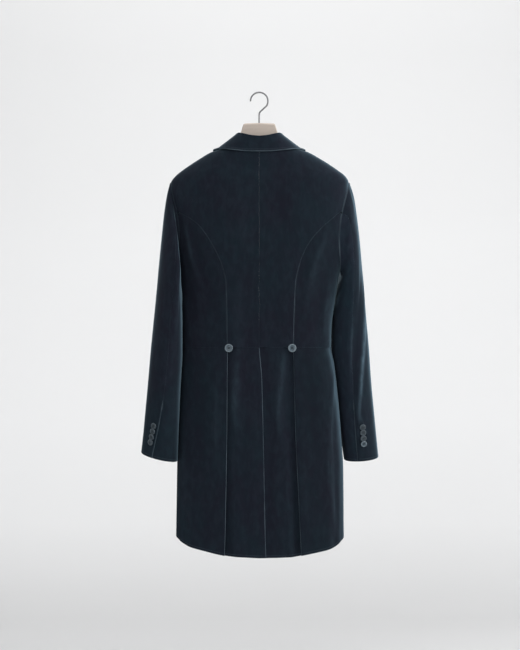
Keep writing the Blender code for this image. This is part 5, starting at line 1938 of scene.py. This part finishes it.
def sewing_tree():
    """Geometry nodes: a stitch at even steps along the lines, with named inputs for its sizes."""
    tree = bpy.data.node_groups.new("sewing", "GeometryNodeTree")
    sewing_inputs(tree.interface)
    sew = Nodes(tree)
    outputs = tree.nodes.new("NodeGroupInput").outputs
    given = {socket.name: Value(sew, socket) for socket in outputs if socket.name}
    curve = sew.node("GeometryNodeMeshToCurve", {}, {"Mesh": given["Lines"]})
    pitch = {"Curve": curve, "Length": given["Pitch"]}
    walk = sew.node("GeometryNodeResampleCurve", {"mode": "LENGTH"}, pitch)
    ball = sew.node("GeometryNodeMeshUVSphere", {}, STITCH_BALL)
    size = {"X": given["Stitch length"] * 0.5, "Y": given["Thread radius"], "Z": given["Thread radius"]}
    stitch = {"Geometry": ball, "Scale": sew.node("ShaderNodeCombineXYZ", {}, size)}
    stitch = sew.node("GeometryNodeTransform", {}, stitch)
    placed = {"Points": walk, "Instance": stitch, "Rotation": stitch_turn(sew, given)}
    placed = sew.node("GeometryNodeInstanceOnPoints", {}, placed)
    real = sew.node("GeometryNodeRealizeInstances", {}, {"Geometry": placed})
    smooth = sew.node("GeometryNodeSetShadeSmooth", {}, {"Geometry": real, "Shade Smooth": True})
    coloured = sew.node("GeometryNodeSetMaterial", {}, {"Geometry": smooth, "Material": given["Material"]})
    sew.put(tree.nodes.new("NodeGroupOutput").inputs["Stitches"], coloured)
    return tree


sewing = sewing_tree()
print("a tree of", len(sewing.nodes), "nodes sews the stitches")


# %% Sewing
def sewn(name, tree, rows, inputs):
    """Plain mesh of the stitches along some rows."""
    holder = in_scene(name, line_mesh(rows))
    modifier = holder.modifiers.new("sewing", "NODES")
    modifier.node_group = tree
    named = {item.name: item.identifier for item in tree.interface.items_tree if item.in_out == "INPUT"}
    for key, value in inputs.items():
        modifier[named[key]] = value
    mesh = worked_in(holder)
    holder.modifiers.clear()
    bpy.data.objects.remove(holder)
    if "up" in mesh.attributes:
        mesh.attributes.remove(mesh.attributes["up"])
    return add_piece(name, mesh, THREAD)


stitches = sewn("edge_stitches", sewing, STITCH_ROWS, {"Material": THREAD, "Seed": SEWING_SEED})
print("stitches:", len(stitches.data.polygons), "faces")

# %% [markdown]
# ## Studio
#
# A photographer hangs a garment in front of one long pale sheet that lies on the floor and sweeps up behind
# it, so there is no line where the wall begins. The sheet is painted a little darker low down and again high
# up, as the light falls off there. Its far side is left open to view, because the sheet stands close behind
# the coat and would hide its front from there. A broad soft light hangs above, one at each side grazes the
# pile, a weak one fills in from the camera's side, and one is for the wall.

# %% Sheet of the studio
FLOOR_Z = -1.40
FLOOR_STARTS = -12.0
SWEEP_START = 1.6
SWEEP_RADIUS = 1.2
SWEEP_STEPS = 16
WALL_TOP = 4.0
SHEET_HALF_WIDTH = 6.0
SHEET_COLOUR = (0.86, 0.86, 0.86)
TONES_HIGH = 2.0
TONES = (
    (0.0, 0.78), (0.03, 0.82), (0.06, 0.87), (0.12, 0.95),
    (0.27, 1.0), (0.55, 1.0), (0.68, 0.955), (0.85, 0.90),
)


def pale_floor():
    """Matt paint in tones by height, on the near side of the sheet only."""
    paint = Paint("pale_floor")
    share = (height_of(paint, object_place(paint)) - FLOOR_Z) * (1 / TONES_HIGH)
    colour = paint.mix(ramp(paint, share, *TONES), (0.0, 0.0, 0.0), SHEET_COLOUR)
    far_side = paint.node("ShaderNodeNewGeometry", {}, {}, out="Backfacing")
    return paint.finish(Base_Color=colour, Roughness=0.9, Alpha=1 - far_side)


def sweep():
    """The sheet: a floor, a quarter round and a wall."""
    profile = [(FLOOR_STARTS, FLOOR_Z), (SWEEP_START, FLOOR_Z)]
    for k in range(1, SWEEP_STEPS + 1):
        a = pi / 2 * k / SWEEP_STEPS
        profile.append((SWEEP_START + SWEEP_RADIUS * sin(a), FLOOR_Z + SWEEP_RADIUS * (1 - cos(a))))
    profile.append((SWEEP_START + SWEEP_RADIUS, WALL_TOP))
    mesh = bpy.data.meshes.new("floor")
    corners = [(x, y, z) for y, z in profile for x in (-SHEET_HALF_WIDTH, SHEET_HALF_WIDTH)]
    faces = [(2 * k, 2 * k + 1, 2 * k + 3, 2 * k + 2) for k in range(len(profile) - 1)]
    mesh.from_pydata(corners, [], faces)
    mesh.shade_smooth()
    return add_piece("floor", mesh, pale_floor())


floor = sweep()
print("sheet of", len(floor.data.polygons), "faces, floor", FLOOR_Z, "m from the rail")

# %% Lights
SKY_COLOUR = (0.9, 0.92, 0.95, 1)
SKY_LIGHT = 0.30
SoftBox = namedtuple("SoftBox", "name place target size power")
LIGHTS = [
    SoftBox("overhead", (0.0, -0.9, 2.4), (0.0, 0.0, -0.6), 2.4, 16),
    SoftBox("left_side", (-2.4, 0.1, 0.2), (0.0, 0.0, -0.6), 1.6, 5),
    SoftBox("right_side", (2.4, -0.3, 0.3), (0.0, 0.0, -0.6), 1.6, 42),
    SoftBox("front_fill", (-0.6, -5.0, 0.8), (0.0, 0.0, -0.6), 2.8, 75),
    SoftBox("wall_light", (0.0, 0.9, 1.6), (0.0, 2.8, -0.4), 2.4, 38),
]


def soft_box(row):
    """Square soft light at its place, turned to its target."""
    light = bpy.data.lights.new(row.name, "AREA")
    light.shape = "SQUARE"
    light.size = row.size
    light.energy = row.power
    holder = in_scene(row.name, light)
    holder.location = row.place
    holder.rotation_euler = (Vector(row.target) - Vector(row.place)).to_track_quat("-Z", "Y").to_euler()


for row in LIGHTS:
    soft_box(row)
world = bpy.data.worlds.new("studio")
world.use_nodes = True
sky = world.node_tree.nodes["Background"].inputs
sky["Color"].default_value = SKY_COLOUR
sky["Strength"].default_value = SKY_LIGHT
bpy.context.scene.world = world
bpy.context.scene.view_settings.view_transform = "Standard"
print(len(LIGHTS), "soft lights")

# %% [markdown]
# ## Hand over to the frame
#
# Every velvet piece rides with the coat's body and stands for its plain wall. The lengths of its rows and
# columns, whose longest leave the real cloth area a little smaller, and the areas of its cells are worked
# out;
# nothing more is done with them.

# %% Ride and replace
for name, piece in cloth_pieces.items():
    node = name.removesuffix("_velvet")
    outer, _ = grids[name]
    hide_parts(node)
    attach(piece, "root")
    across, down = lengths(outer, 1)[:, -1], lengths(outer, 0)[-1]
    corner = outer[:-1, :-1]
    cells = np.linalg.norm(np.cross(outer[1:, :-1] - corner, outer[:-1, 1:] - corner), axis=-1)

# %% Hard pieces and sewing
hard_pieces = [(piece, node, "button") for node, piece in button_pieces.items()]
hard_pieces += [(hanger, "hanger_body", "hanger_wood"), (hook, "hanger_hook", "hook_steel")]
for piece, node, slot in hard_pieces:
    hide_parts(node)
    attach(piece, "root")
for piece in (button_thread, stitches):
    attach(piece, "root")
print(len(hard_pieces), "hard pieces")
